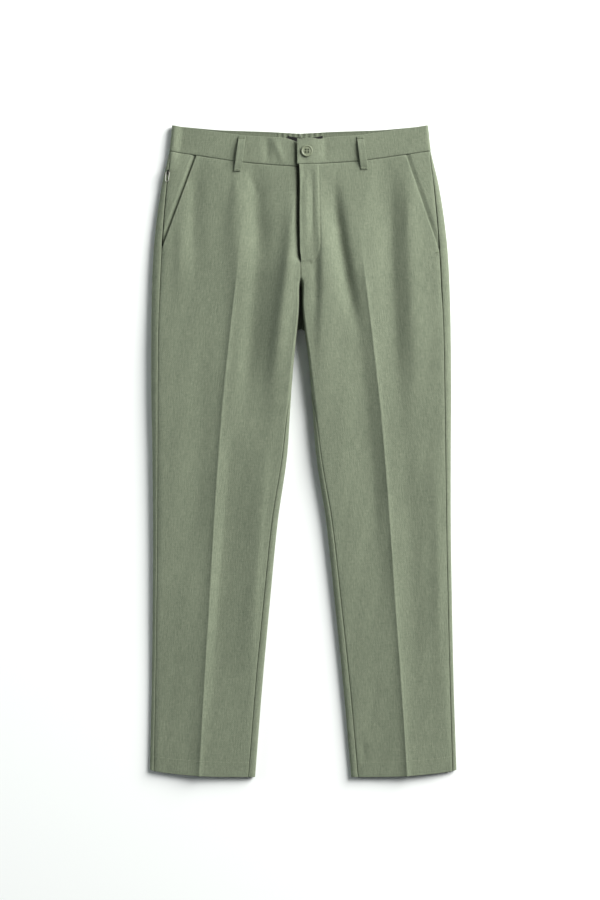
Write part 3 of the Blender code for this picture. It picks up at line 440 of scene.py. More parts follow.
@dataclass(frozen=True)
class GarmentForm:
    """The whole garment's form, which every cloth piece is cut from.

    A name in _from is the place where something begins, and one in _over is the distance in
    which it then grows to its full size, or fades.
    """

    length: float = 1046.0
    centre_lean: float = 5.1
    cloth: float = 1.2
    hem_cloth: float = 2.1
    hem_depth: float = 24.0
    seam_gap: float = 0.3
    seam_half: float = 0.2
    layer_gap: float = 0.45
    fork: float = 246.0
    valley_full: float = 268.0
    valley_floor: float = 3.3
    saddle: float = 327.0
    leg_rounded: float = 372.0
    fly_strip: float = 12.0
    under_lift: float = 1.7
    under_from: float = 62.0
    under_over: float = 50.0
    crown_sharpness: float = 1.25
    crease_ridge: float = 1.2
    crease_spread: float = 16.0
    crease_from: float = 150.0
    crease_over: float = 180.0
    crease_nip: float = 2.4
    crease_nip_spread: float = 4.6
    nip_from: float = 120.0
    nip_over: float = 170.0
    nip_blunt: float = 6.0
    fold_calm: float = 14.0
    fold_fade: float = 1.25
    seam_trough: float = 0.9
    seam_trough_width: float = 4.5
    seam_trough_over: float = 30.0
    opening_over: float = 12.0
    lift_from: float = 16.0
    lift_over: float = 30.0
    fly_dip_depth: float = 6.0
    fly_dip_reach: float = 8.5
    fly_dip_over: float = 12.0
    band_droop: float = 5.0
    band_droop_reach: float = 16.0
    label_dip: float = 2.4
    label_dip_off: float = 31.0
    label_dip_reach: float = 9.0
    band_cloth: float = 2.2
    band_proud: float = 0.3
    band_tilt: float = 1.6
    first_row: float = 66.0
    waist_rows_end: float = 163.0
    hem_rows_start: float = 880.0

    sections = Curves(SECTIONS)
    band = Curves(BAND_EDGES)
    hem = Curves(HEM_EDGES)
    fly = Curves(FLY_EDGES)

    def place(self, side: Side, off: Array, down: Array, height: Array) -> Array:
        """Places on a side of the garment as X, Y, Z in metres; height is above the ground."""
        x = -self.centre_lean * (1 - down / self.length) + side.value * off
        return np.stack(np.broadcast_arrays(x, self.length / 2 - down, height), axis=-1) * MM

    def fold_height(self, offset: Array, down: float) -> Array:
        """The sum of the folds along one level.

        Args:
            offset: Places across, positive to +X.
            down: The level.

        Returns:
            Heights, below zero in a trough.
        """
        total = np.zeros_like(offset)
        for fold in FOLDS:
            a, b, c = fold.down0, fold.down1, fold.down2
            if not a < down < c:
                continue
            line = (
                fold.off0 * (down - b) * (down - c) / ((a - b) * (a - c))
                + fold.off1 * (down - a) * (down - c) / ((b - a) * (b - c))
                + fold.off2 * (down - a) * (down - b) / ((c - a) * (c - b))
            )
            along = (down - a) / (b - a) if down < b else (c - down) / (c - b)
            across = (offset - line) / np.where(offset < line, fold.left, fold.right)
            total = total + fold.height * ease(self.fold_fade * along) * np.exp(-across * across)
        return total

    def under_height(self, down: float) -> float:
        """The underside: flat on the ground but for the waist, which lies on its loops."""
        return float(self.under_lift * (1 - ease((down - self.under_from) / self.under_over)))

    def plateau(self, side: Side, off: Array, down: float) -> Array:
        """Heights of the upper surface between its two rounded edges.

        Args:
            side: The side.
            off: Distances from the centre line.
            down: The level.

        Returns:
            Heights above the ground.
        """
        off = np.atleast_1d(np.asarray(off, dtype=float))
        s = self.sections.at(down)
        inner = s.gap + s.inner_reach
        outer = s.half_width - s.edge_reach
        outside = off > s.crease
        reach = np.where(outside, outer - s.crease, s.crease - inner)
        edge = np.where(outside, s.edge_height, s.inner_height)
        share = np.clip(np.abs(off - s.crease) / reach, 0.0, 1.0)
        height = edge + (s.crease_height - edge) * (1 - share) ** self.crown_sharpness
        beside = np.abs(off - s.crease)
        pressed = ease((down - self.crease_from) / self.crease_over)
        height += pressed * self.crease_ridge * np.exp(-beside / self.crease_spread)
        nipped = ease((down - self.nip_from) / self.nip_over)
        soft = np.sqrt(beside**2 + (self.nip_blunt * (1 - nipped)) ** 2)
        height += nipped * self.crease_nip * np.exp(-soft / self.crease_nip_spread)
        seam = s.half_width - s.outseam_inset
        if down > self.first_row:
            trough = np.exp(-(((off - seam) / self.seam_trough_width) ** 2))
            sewn = ease((down - self.first_row) / self.seam_trough_over)
            height -= self.seam_trough * sewn * trough
        calm = ease((outer - off) / self.fold_calm)
        return height + calm * self.fold_height(side.value * off, down)

    def ring(self, side: Side, down: float, start_off: float) -> Ring:
        """The outer line round one side at one level.

        Args:
            side: The side.
            down: The level.
            start_off: Where the line starts, above the fork of the legs.

        Returns:
            The ring with its marks.
        """
        s = self.sections.at(down)
        under = self.under_height(down)
        quarter = math.pi / 2
        inner = s.gap + s.inner_reach
        outer = s.half_width - s.edge_reach
        inner_top = float(self.plateau(side, inner, down)[0])
        points: list[tuple[float, float]] = []
        waist_of_edge = 0.0
        if down <= self.fork:
            begin = start_off
        elif down <= self.saddle:
            share = ease((down - self.fork) / (self.valley_full - self.fork))
            floor = float(mix(s.inner_height, self.valley_floor, share))
            points += [(start_off, floor), (0.5 * s.gap, floor)]
            points += arc(inner, floor, -s.inner_reach, inner_top - floor, 0, quarter)
            begin = inner
        else:
            round_share = ease((down - self.saddle) / (self.leg_rounded - self.saddle))
            waist_of_edge = float(mix(self.valley_floor, s.inner_height / 2, round_share))
            low_reach = min(s.inner_reach, 1.2 * waist_of_edge + 0.5)
            low_rise = waist_of_edge - under
            points += arc(s.gap + low_reach, waist_of_edge, -low_reach, low_rise, -quarter, 0)
            rise = inner_top - waist_of_edge
            points += arc(inner, waist_of_edge, -s.inner_reach, rise, 0, quarter)[1:]
            begin = inner
        steps = np.linspace(begin, outer, 181)
        if down > self.fork:
            steps = steps[1:]
        points += list(zip(steps, self.plateau(side, steps, down)))
        outer_top = float(self.plateau(side, outer, down)[0])
        middle = (outer_top + under) / 2
        outer_arc = arc(outer, middle, s.edge_reach, outer_top - middle, quarter, -quarter)
        tip = len(points) - 1 + len(outer_arc) // 2
        points += outer_arc[1:]
        bottom = len(points) - 1
        bottom_end = points[0][0] if down > self.saddle else self.seam_gap / 2
        points += [(off, under) for off in np.linspace(outer, bottom_end, 31)[1:]]
        line = np.array(points)
        lengths = np.concatenate([[0], np.cumsum(np.hypot(*np.diff(line, axis=0).T))])
        ring = Ring(line, lengths, {}, tip, down > self.saddle)
        marks = ring.marks
        marks["start"], marks["end"], marks["tip"] = 0.0, lengths[-1], lengths[tip]
        marks["bottom"] = lengths[bottom]
        marks["crease"] = ring.on_top(s.crease)
        marks["outseam"] = ring.on_top(s.half_width - s.outseam_inset)
        marks["inseam"] = 0.0
        marks["inner_top"] = ring.on_top(inner if down > self.fork else start_off + self.fly_strip)
        if down > self.saddle:
            inset = s.inseam_inset
            if inset > 0:
                marks["inseam"] = ring.on_top(s.gap + inset)
            else:
                low = slice(0, int(np.argmin(line[: tip + 1, 0])) + 1)
                marks["inseam"] = float(
                    np.interp(waist_of_edge + inset, line[low, 1], lengths[low])
                )
            marks["inner_top"] = max(marks["inner_top"], marks["inseam"] + self.fly_strip)
        return ring

    def seam_half_gap(self, side: Side, down: float) -> float:
        """Half the space along the side seam, wider where it stands open.

        Args:
            side: The side.
            down: The level.

        Returns:
            Half the space.
        """
        opening = SEAM_OPENINGS[side]
        inside = min(down - opening.start, opening.end - down) / self.opening_over
        return float(mix(self.seam_half, opening.half_gap, ease(inside)))

    def mouth_off(self, side: Side, down: float) -> float:
        """How far from the centre line the pocket's mouth lies at a level."""
        top_off, top_down, end_off, end_down = astuple(POCKETS[side])
        return mix(top_off, end_off, (down - top_down) / (end_down - top_down))

    def fly_lift(self, off: Array, down: Array) -> Array:
        """How far the left front stands proud over the right one."""
        fade = 1 - ease((off - self.lift_from) / self.lift_over)
        return np.where(down < self.fork, self.fly.column("lift", down) * fade, 0.0)

    def fly_dip(self, off: Array, down: Array) -> Array:
        """How far the right front sinks as it runs under the left one."""
        ends = ease((FLY_EDGES[-2].down - down) / self.fly_dip_over)
        return self.fly_dip_depth * ends * np.exp(-np.maximum(off, 0.0) / self.fly_dip_reach)

    def waist_seam(self, side: Side, off: Array, back: bool) -> Array:
        """How far down the waistband's lower edge lies.

        Args:
            side: The side.
            off: Distances from the centre line.
            back: True for the back's edge, False for the front's.

        Returns:
            Levels.
        """
        off = np.abs(off)
        if back:
            return self.band.column("back_low", off)
        tilt = self.band_tilt * (1 - off / BAND_EDGES[-1].off)
        return self.band.column("front_low", off) - side.value * tilt

    def band_top(self, side: Side, off: Array) -> Array:
        """How far down the front band's top edge lies.

        The right half droops where it runs under the left one, which dips by the label.

        Args:
            side: The side.
            off: Distances from the centre line.

        Returns:
            Levels.
        """
        if side is Side.RIGHT:
            droop = self.band_droop * np.exp(-((off / self.band_droop_reach) ** 2))
        else:
            beside = (off - self.label_dip_off) / self.label_dip_reach
            droop = self.label_dip * np.exp(-(beside**2))
        return self.band.column("front_top", np.abs(off)) + droop

    def row_down(self, side: Side, row: Array, off: Array, back: bool) -> Array:
        """How far down a row of points lies, as it follows the waist seam and the hem.

        Args:
            side: The side.
            row: The row's own level, as if seam and hem were straight.
            off: Distances from the centre line.
            back: True on the back, False on the front.

        Returns:
            Levels.
        """
        seam = self.waist_seam(side, off, back) + self.seam_gap
        share = 1 - ease((row - self.first_row) / (self.waist_rows_end - self.first_row))
        down = row + share * (seam - self.first_row)
        hem_start = self.hem_rows_start
        share = ease((row - hem_start) / (self.length - self.hem_depth - hem_start))
        gap = self.sections.column("gap", row)
        half = self.sections.column("half_width", row)
        edge = self.hem.column("down", (off - gap) / (half - gap))
        return down + share * (edge - self.length)

    def top_height(self, offset: float, down: float) -> float:
        """The highest cloth at a place on the front.

        Args:
            offset: The place across, positive to +X.
            down: Its level.

        Returns:
            Its height above the ground.
        """
        side = Side.LEFT if offset > self.fly.at(down).off else Side.RIGHT
        off = side.value * offset
        height = float(self.plateau(side, off, down)[0])
        if side is Side.LEFT:
            height += float(self.fly_lift(off, down))
        if down < self.waist_seam(side, off, False):
            height += self.band_proud
        return height


# ---------------- finishes


def to_linear(hex_colour: str) -> tuple[float, float, float, float]:
    """Turns an sRGB colour to the linear values that a shader takes.

    Args:
        hex_colour: The colour, such as #7D8673.

    Returns:
        Linear red, green, blue and alpha.
    """
    parts = [int(hex_colour[i:i + 2], 16) / 255 for i in (1, 3, 5)]
    red, green, blue = (
        c / 12.92 if c <= 0.04045 else ((c + 0.055) / 1.055) ** 2.4 for c in parts
    )
    return red, green, blue, 1.0


def add_node(tree: NodeTree, kind: str, settings: dict[str, object],
             inputs: dict[str | int, object]) -> Node:
    """Adds a shader node.

    Args:
        tree: The material's node tree.
        kind: The node's type.
        settings: The node's own properties.
        inputs: Values for its input sockets, or sockets to link them to.

    Returns:
        The new node.
    """
    node = tree.nodes.new(kind)
    for name, value in settings.items():
        setattr(node, name, value)
    for name, value in inputs.items():
        if isinstance(value, NodeSocket):
            tree.links.new(value, node.inputs[name])
        else:
            node.inputs[name].default_value = value
    return node


@dataclass(frozen=True)
class Finish:
    """What every finish has: the shader's own values, and a colour that each sets its way."""

    roughness: float = 0.8
    metallic: float = 0.0
    specular: float = 0.5
    sheen: float = 0.0
    sheen_roughness: float = 0.5
    sheen_tone: str = "#FFFFFF"

    def material(self, name: str) -> Material:
        """Makes the material.

        Args:
            name: Its name.

        Returns:
            The finished material.
        """
        material = bpy.data.materials.new(name)
        material.use_nodes = True
        shader = material.node_tree.nodes["Principled BSDF"]
        values = {
            "Roughness": self.roughness,
            "Metallic": self.metallic,
            "Specular IOR Level": self.specular,
            "Sheen Weight": self.sheen,
            "Sheen Roughness": self.sheen_roughness,
            "Sheen Tint": to_linear(self.sheen_tone),
        }
        for socket, value in values.items():
            shader.inputs[socket].default_value = value
        self.dress(material.node_tree, shader)
        return material

    def dress(self, tree: NodeTree, shader: Node) -> None:
        """Adds the finish's own nodes; each finish has its own."""
        raise NotImplementedError


@dataclass(frozen=True)
class PatternedFinish(Finish):
    """A finish of two close shades, with a pattern that mixes them and stands in relief.

    polish_low and polish_high are how much smoother the dark shade and rougher the light one
    is than the rest; both are 0 where the polish is even.
    """

    light: str = "#FFFFFF"
    dark: str = "#FFFFFF"
    relief_strength: float = 0.3
    relief_mm: float = 0.1
    polish_low: float = 0.0
    polish_high: float = 0.0

    def pattern(self, tree: NodeTree) -> tuple[NodeSocket, ...]:
        """Draws the pattern; each finish has its own.

        Args:
            tree: The material's node tree.

        Returns:
            The pattern's shade, 0 for dark and 1 for light, and its relief.
        """
        raise NotImplementedError

    def dress(self, tree: NodeTree, shader: Node) -> None:
        """Mixes the shades by the pattern, raises its relief and varies the polish.

        Args:
            tree: The material's node tree.
            shader: Its shader.
        """
        shade, relief = self.pattern(tree)
        colour = add_node(tree, "ShaderNodeMix", {"data_type": "RGBA"},
                          {0: shade, 6: to_linear(self.dark), 7: to_linear(self.light)})
        tree.links.new(colour.outputs[2], shader.inputs["Base Color"])
        if self.polish_high:
            polish = add_node(tree, "ShaderNodeMapRange", {},
                              {0: shade, 3: self.roughness - self.polish_low,
                               4: self.roughness + self.polish_high})
            tree.links.new(polish.outputs[0], shader.inputs["Roughness"])
        bump = add_node(tree, "ShaderNodeBump", {},
                        {"Height": relief, "Strength": self.relief_strength,
                         "Distance": self.relief_mm * MM})
        tree.links.new(bump.outputs[0], shader.inputs["Normal"])


@dataclass(frozen=True)
class SuitingWeave(PatternedFinish):
    """Plain-woven suiting of polyester, viscose and slub yarns dyed sage green.

    Yarns of two close shades and uneven thickness give the eye fine pale and dark dashes
    along the warp and, more faintly, the weft. The surface is matt, with a thin bloom of
    fibre ends at the edges. The real yarns are 0.45 mm apart, too fine to show from where
    the garment is seen, so they are drawn at thread_mm.
    """

    roughness: float = 0.88
    specular: float = 0.25
    sheen: float = 0.12
    sheen_roughness: float = 0.45
    sheen_tone: str = "#D9E0CC"
    light: str = "#7D8673"
    dark: str = "#586152"
    relief_strength: float = 0.55
    relief_mm: float = 0.4
    thread_mm: float = 1.5
    slub_mm: float = 1.9
    slub_length_mm: float = 18.0
    weft_length_mm: float = 9.0
    cloud_mm: float = 70.0
    shade_weights: tuple[tuple[str, float], ...] = (
        ("warp", 1.05), ("weft", 0.6), ("cloud", 0.35), ("fleck", 0.7), ("weave", 0.12),
    )
    relief_weights: tuple[tuple[str, float], ...] = (
        ("weave", 0.4), ("warp", 1.2), ("weft", 0.7), ("fleck", 0.8),
    )

    def pattern(self, tree: NodeTree) -> tuple[NodeSocket, ...]:
        """Yarn streaks, a plain weave and slow changes of shade."""
        cut = add_node(tree, "ShaderNodeAttribute", {"attribute_name": "cut"}, {})
        # Each layer's grain across and along the cloth in millimetres, and its detail.
        grains = {
            "warp": (self.slub_mm, self.slub_length_mm, 3.0),
            "weft": (self.weft_length_mm, self.slub_mm, 3.0),
            "cloud": (self.cloud_mm, self.cloud_mm * 1.6, 2.0),
            "fleck": (self.thread_mm, self.thread_mm * 3.0, 1.0),
            "weave": (self.thread_mm, self.thread_mm, 0.0),
        }
        layers = {}
        for name, (across, along, detail) in grains.items():
            place = add_node(tree, "ShaderNodeVectorMath", {"operation": "MULTIPLY"},
                             {0: cut.outputs["Vector"], 1: (1000 / across, 1000 / along, 1.0)})
            if name == "weave":
                layer = add_node(tree, "ShaderNodeTexChecker", {},
                                 {"Vector": place.outputs[0], "Scale": 1.0,
                                  "Color1": (1, 1, 1, 1), "Color2": (0, 0, 0, 1)})
            else:
                layer = add_node(tree, "ShaderNodeTexNoise", {"noise_dimensions": "3D"},
                                 {"Vector": place.outputs[0], "Scale": 1.0, "Detail": detail,
                                  "Roughness": 0.6})
            layers[name] = layer.outputs["Fac"]
        totals = []
        for weights in (self.shade_weights, self.relief_weights):
            # Every layer adds its distance from its own middle to a half.
            total = 0.5 - sum(weight * 0.5 for _, weight in weights)
            for name, weight in weights:
                total = add_node(tree, "ShaderNodeMath", {"operation": "MULTIPLY_ADD"},
                                 {0: layers[name], 1: weight, 2: total}).outputs[0]
            totals.append(total)
        return tuple(totals)


@dataclass(frozen=True)
class CastPolyester(PatternedFinish):
    """Cast polyester resin, turned and tumbled, dyed to match the cloth.

    Tumbling leaves a satin polish, with faint swirls where the dye lies deeper.
    """

    roughness: float = 0.46
    light: str = "#79826C"
    dark: str = "#666E5A"
    relief_strength: float = 0.25
    polish_low: float = 0.05
    polish_high: float = 0.1
    swirl_mm: float = 4.0

    def pattern(self, tree: NodeTree) -> tuple[NodeSocket, ...]:
        """Soft swirls."""
        place = add_node(tree, "ShaderNodeTexCoord", {}, {}).outputs["Object"]
        swirl = add_node(tree, "ShaderNodeTexNoise", {},
                         {"Vector": place, "Scale": 1000 / self.swirl_mm, "Detail": 2.0,
                          "Distortion": 1.2}).outputs["Fac"]
        return swirl, swirl


@dataclass(frozen=True)
class DrawnPolyester(CastPolyester):
    """Polyester drawn to a thick filament and coiled into a zip's teeth, dyed dark green.

    Drawing leaves it smoother than cast resin, so each tooth has a small highlight.
    """

    roughness: float = 0.4
    light: str = "#3F4638"
    dark: str = "#2C3128"


@dataclass(frozen=True)
class WovenTape(PatternedFinish):
    """Closely woven polyester tape: matt, with fine ribs across it and a fleck of lint.

    The real ribs are 0.35 mm apart. A pixel of the render is 1.6 mm, so they are drawn
    rib_mm apart.
    """

    roughness: float = 0.75
    specular: float = 0.3
    light: str = "#4A5243"
    dark: str = "#2E3429"
    relief_strength: float = 0.5
    relief_mm: float = 0.2
    rib_mm: float = 5.655
    lint_mm: float = 1.111

    def pattern(self, tree: NodeTree) -> tuple[NodeSocket, ...]:
        """Ribs across the tape, with lint in the colour alone."""
        cut = add_node(tree, "ShaderNodeAttribute", {"attribute_name": "cut"}, {})
        # A straight wave texture turns 20 radians in one unit of its coordinates.
        ribs = add_node(tree, "ShaderNodeTexWave", {"bands_direction": "Y"},
                        {"Vector": cut.outputs["Vector"],
                         "Scale": math.tau / 20 / (self.rib_mm * MM),
                         "Distortion": 0.6, "Detail": 1.0}).outputs["Fac"]
        lint = add_node(tree, "ShaderNodeTexNoise", {},
                        {"Vector": cut.outputs["Vector"], "Scale": 1000 / self.lint_mm,
                         "Detail": 2.0}).outputs["Fac"]
        shade = add_node(tree, "ShaderNodeMath", {"operation": "MULTIPLY"},
                         {0: ribs, 1: lint}).outputs[0]
        return shade, ribs


@dataclass(frozen=True)
class SpunThread(PatternedFinish):
    """Spun polyester sewing thread, a shade lighter than the cloth.

    Its twist breaks the light into small slanting dashes. The real twist is 0.8 mm, and is
    drawn twist_mm long so that it shows, as stitches that differ a little in shade.
    """

    roughness: float = 0.6
    light: str = "#8C957E"
    dark: str = "#6C7461"
    relief_strength: float = 0.4
    twist_mm: float = 10.053

    def pattern(self, tree: NodeTree) -> tuple[NodeSocket, ...]:
        """The slanting twist."""
        place = add_node(tree, "ShaderNodeTexCoord", {}, {}).outputs["Object"]
        # A slanting wave texture turns 10 radians in one unit along an axis.
        twist = add_node(tree, "ShaderNodeTexWave", {"bands_direction": "DIAGONAL"},
                         {"Vector": place, "Scale": math.tau / 10 / (self.twist_mm * MM),
                          "Distortion": 0.4}).outputs["Fac"]
        return twist, twist


@dataclass(frozen=True)
class PlatedZinc(PatternedFinish):
    """Die-cast zinc with a nickel plate, tumbled.

    The plate is grey and softly bright, and darker in fine scuffs.
    """

    roughness: float = 0.42
    metallic: float = 1.0
    light: str = "#EBEBE6"
    dark: str = "#B4B4AD"
    relief_strength: float = 0.2
    relief_mm: float = 0.05
    polish_low: float = 0.08
    polish_high: float = 0.15
    scuff_mm: float = 0.7

    def pattern(self, tree: NodeTree) -> tuple[NodeSocket, ...]:
        """Scuffs in the plate."""
        place = add_node(tree, "ShaderNodeTexCoord", {}, {}).outputs["Object"]
        scuff = add_node(tree, "ShaderNodeTexNoise", {},
                         {"Vector": place, "Scale": 1000 / self.scuff_mm, "Detail": 3.0,
                          "Roughness": 0.7}).outputs["Fac"]
        return scuff, scuff


@dataclass(frozen=True)
class BlackPlatedZinc(PlatedZinc):
    """The same zinc in two dark greys, with nearly black scuffs."""

    light: str = "#63635F"
    dark: str = "#30302E"


@dataclass(frozen=True)
class MattPaper(Finish):
    """Seamless background paper: matt, near white and very faintly cool."""

    roughness: float = 0.95
    specular: float = 0.0
    tone: str = "#EDF1F3"

    def dress(self, tree: NodeTree, shader: Node) -> None:
        """A plain tone."""
        shader.inputs["Base Color"].default_value = to_linear(self.tone)


# ---------------- sheets of cloth


# How far the rows or columns next to an edge lie from it, and those beside a pressed crease.
EDGE_STEPS = np.array([0.0, 0.3, 0.7, 1.2, 1.9, 3.0, 4.6])
CREASE_STEPS = np.array([0.8, 1.8, 3.2, 5.2])
# The angles over which the edges of each kind of piece are sharp.
CLOTH_SHARP, TURNED_SHARP, THREAD_SHARP = 62.0, 40.0, 50.0


@dataclass(frozen=True)
class Columns:
    """A piece's columns at one level, as arc lengths on the ring there.

    begin and end are the piece's two edges, zero is the place from which the cloth's own
    width is measured, and back is 0 for a column on the front and 1 for one on the back.
    """

    at: Array
    begin: float
    end: float
    zero: float
    back: Array | float = 0.0


@dataclass
class Sheet:
    """A grid of points on a piece of cloth, in rows down the garment and columns across.

    points and normals are (off, height) at each place, down is its level, at its arc length
    in the piece, and from_first, from_last, from_top and from_low are the distances to the
    piece's four edges.
    """

    side: Side
    points: Array
    normals: Array
    down: Array
    at: Array
    from_first: Array
    from_last: Array
    from_top: Array
    from_low: Array


@dataclass(frozen=True)
class ClothMaker:
    """Turns grids into meshes: thin shells with soft edges, seams that roll in, and slack.

    slack_waves holds each kind of wave's length across and along, and its share.
    """

    form: GarmentForm
    slack_height: float = 0.28
    slack_seed: int = 11
    slack_waves: tuple[tuple[float, float, float], ...] = (
        (95, 330, 1.0), (46, 190, 0.6), (22, 90, 0.25), (120, 60, 0.25), (11, 38, 0.07),
    )
    waves_each: int = 5
    wave_spread: tuple[float, float] = (0.75, 1.3)
    roll_reach: float = 1.1
    edge_radius: float = 0.45
    pattern_layers: int = 17

    def slack(self, offset: Array, down: Array, strength: float = 1.0) -> Array:
        """Small uneven waves that cloth keeps when it lies, longer down than across.

        Args:
            offset: Places across, positive to +X.
            down: Places down.
            strength: A share of the usual height.

        Returns:
            Heights in millimetres.
        """
        rng = np.random.default_rng(self.slack_seed)
        total = np.zeros(np.broadcast(offset, down).shape)
        for across_mm, along_mm, share in self.slack_waves:
            for _ in range(self.waves_each):
                turn_a, turn_b = rng.uniform(*self.wave_spread, 2) * 2 * math.pi
                lean, phase = rng.uniform(-0.5, 0.5), rng.uniform(0, 2 * math.pi)
                wave = turn_a * offset / across_mm + turn_b * down / along_mm * (1 + lean)
                bend = 1.2 * np.sin(down / along_mm * 2.1 + phase * 2)
                total = total + share * np.sin(wave + phase + bend) / 2.2
        return total * self.slack_height * strength

    @staticmethod
    def round_edge(distance: Array, radius: float) -> Array:
        """How far a surface falls back as it rounds a folded edge."""
        inside = np.clip(radius - distance, 0.0, radius)
        return radius - np.sqrt(np.maximum(radius**2 - inside**2, 0.0))

    def mesh(self, name: str, sheet: Sheet, sink: Array, thickness: Array,
             rolls: tuple[float, float, float, float]) -> Object:
        """A closed thin shell from a sheet.

        Args:
            name: The piece's name.
            sheet: The grid.
            sink: How far the outer surface lies under the garment's own at each place.
            thickness: The cloth's thickness at each place.
            rolls: How far the cloth rolls in at its first, last, top and low edge.

        Returns:
            The piece.
        """
        distances = (sheet.from_first, sheet.from_last, sheet.from_top, sheet.from_low)
        sink = np.broadcast_to(sink, sheet.down.shape).copy()
        round_in = np.zeros_like(sink)
        for distance, roll in zip(distances, rolls):
            sink += roll * np.exp(-distance / self.roll_reach)
            round_in = np.maximum(round_in, self.round_edge(distance, self.edge_radius))
        outer = sheet.points - sheet.normals * (sink + round_in)[..., None]
        inner = sheet.points - sheet.normals * (sink + thickness - round_in)[..., None]
        places = [self.form.place(sheet.side, p[..., 0], sheet.down, p[..., 1])
                  for p in (outer, inner)]
        # Each piece is cut from another part of the cloth, so its pattern differs.
        layer = float(sum(map(ord, name)) % self.pattern_layers)
        cut = np.stack([sheet.at * MM, sheet.down * MM, np.full(sheet.at.shape, layer)], axis=-1)
        return grid_shell(name, places[0], places[1], cut)


def grid_shell(name: str, outer: PointRows, inner: PointRows, cut: PointRows) -> Object:
    """A closed mesh from two grids of points, with the cloth's own coordinates on it.

    Args:
        name: The piece's name.
        outer: The outer surface, (rows, columns, 3).
        inner: The inner surface, of the same shape.
        cut: Each place's coordinates on the cut cloth, in metres.

    Returns:
        The new object, linked to the scene.
    """
    outer, inner, cut = np.asarray(outer), np.asarray(inner), np.asarray(cut)
    rows, columns = outer.shape[:2]
    count = rows * columns
    index = np.arange(count).reshape(rows, columns)
    a, b, c, d = index[:-1, :-1], index[:-1, 1:], index[1:, 1:], index[1:, :-1]
    top = np.stack([a, b, c, d], axis=-1).reshape(-1, 4)
    under = np.stack([a, d, c, b], axis=-1).reshape(-1, 4) + count
    rim = np.concatenate([index[0, :], index[1:, -1], index[-1, -2::-1], index[-2:0:-1, 0]])
    after = np.roll(rim, -1)
    sides = np.stack([after, rim, rim + count, after + count], axis=-1)
    faces = np.concatenate([top, under, sides])
    points = np.concatenate([outer.reshape(-1, 3), inner.reshape(-1, 3)])
    middle = faces[: len(top)][len(top) // 2]
    p, q, r = points[middle[0]], points[middle[1]], points[middle[2]]
    facing = np.dot(np.cross(q - p, r - q), points[middle[0]] - points[middle[0] + count])
    if facing < 0:
        faces = faces[:, ::-1]
    data = bpy.data.meshes.new(name)
    data.from_pydata(points.tolist(), [], faces.tolist())
    spot = data.attributes.new("cut", "FLOAT_VECTOR", "POINT")
    spot.data.foreach_set("vector", np.concatenate([cut, cut]).astype(np.float32).ravel())
    return link(name, data, CLOTH_SHARP)


def add_to_scene(name: str, data: ID) -> Object:
    """Makes an object from a mesh, a light or a camera, and puts it in the scene.

    Args:
        name: The object's name.
        data: What it shows.

    Returns:
        The object.
    """
    thing = bpy.data.objects.new(name, data)
    bpy.context.scene.collection.objects.link(thing)
    return thing


def link(name: str, data: Mesh, sharp_degrees: float) -> Object:
    """Puts a mesh in the scene, smooth but for edges over an angle.

    Args:
        name: The new object's name.
        data: The mesh.
        sharp_degrees: The angle.

    Returns:
        The object.
    """
    data.validate()
    data.shade_smooth()
    data.set_sharp_from_angle(angle=math.radians(sharp_degrees))
    return add_to_scene(name, data)


def between(start: float, end: float, count: int) -> Array:
    """Arc lengths after start up to end, in equal steps."""
    return np.linspace(start, end, count + 1)[1:]


def unit(vectors: Array) -> Array:
    """Vectors of length one."""
    return vectors / np.linalg.norm(vectors, axis=-1, keepdims=True)


def read_rows(levels: Array, values: Array, down: Array) -> Array:
    """Reads what is known at the stations at each row of each column.

    Args:
        levels: The stations.
        values: The values, (station, column, ...).
        down: The rows' levels, (row, column).

    Returns:
        The values, (row, column, ...).
    """
    flat = values.reshape(len(levels), down.shape[1], -1)
    out = np.stack(
        [
            np.stack([np.interp(down[:, c], levels, flat[:, c, k])
                      for k in range(flat.shape[2])], axis=-1)
            for c in range(down.shape[1])
        ],
        axis=1,
    )
    return out.reshape(down.shape + values.shape[2:])


@dataclass(frozen=True)
class ClothPiece:
    """A piece of cloth cut from the garment's form; each kind has its own columns and rows."""

    side: Side
    form: GarmentForm
    maker: ClothMaker
    cut_width: float
    cut_length: float
    cut_area: float | None = None
    part: ClassVar[str] = ""

    def node(self) -> str:
        """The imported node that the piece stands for."""
        return f"{self.part}_{self.side.word}"

    def start_off(self, down: float) -> float:
        """How far from the centre line the piece's ring at a level begins."""
        return self.form.seam_gap / 2

    def columns(self, ring: Ring, down: float) -> Columns:
        """Places the columns at one level; each kind of piece has its own.

        Args:
            ring: The garment's line round that level.
            down: The level.

        Returns:
            The columns.
        """
        raise NotImplementedError

    def rests_on(self) -> str:
        """The node that the piece lies on."""
        return f"back_{self.side.word}"

    def dress(self, piece: Object, dresser: "Dresser") -> None:
        """Gives the piece its cloth."""
        dresser.dress(piece, SuitingWeave(), Slot.CLOTH, (self.node(),))
        self.rests_on()


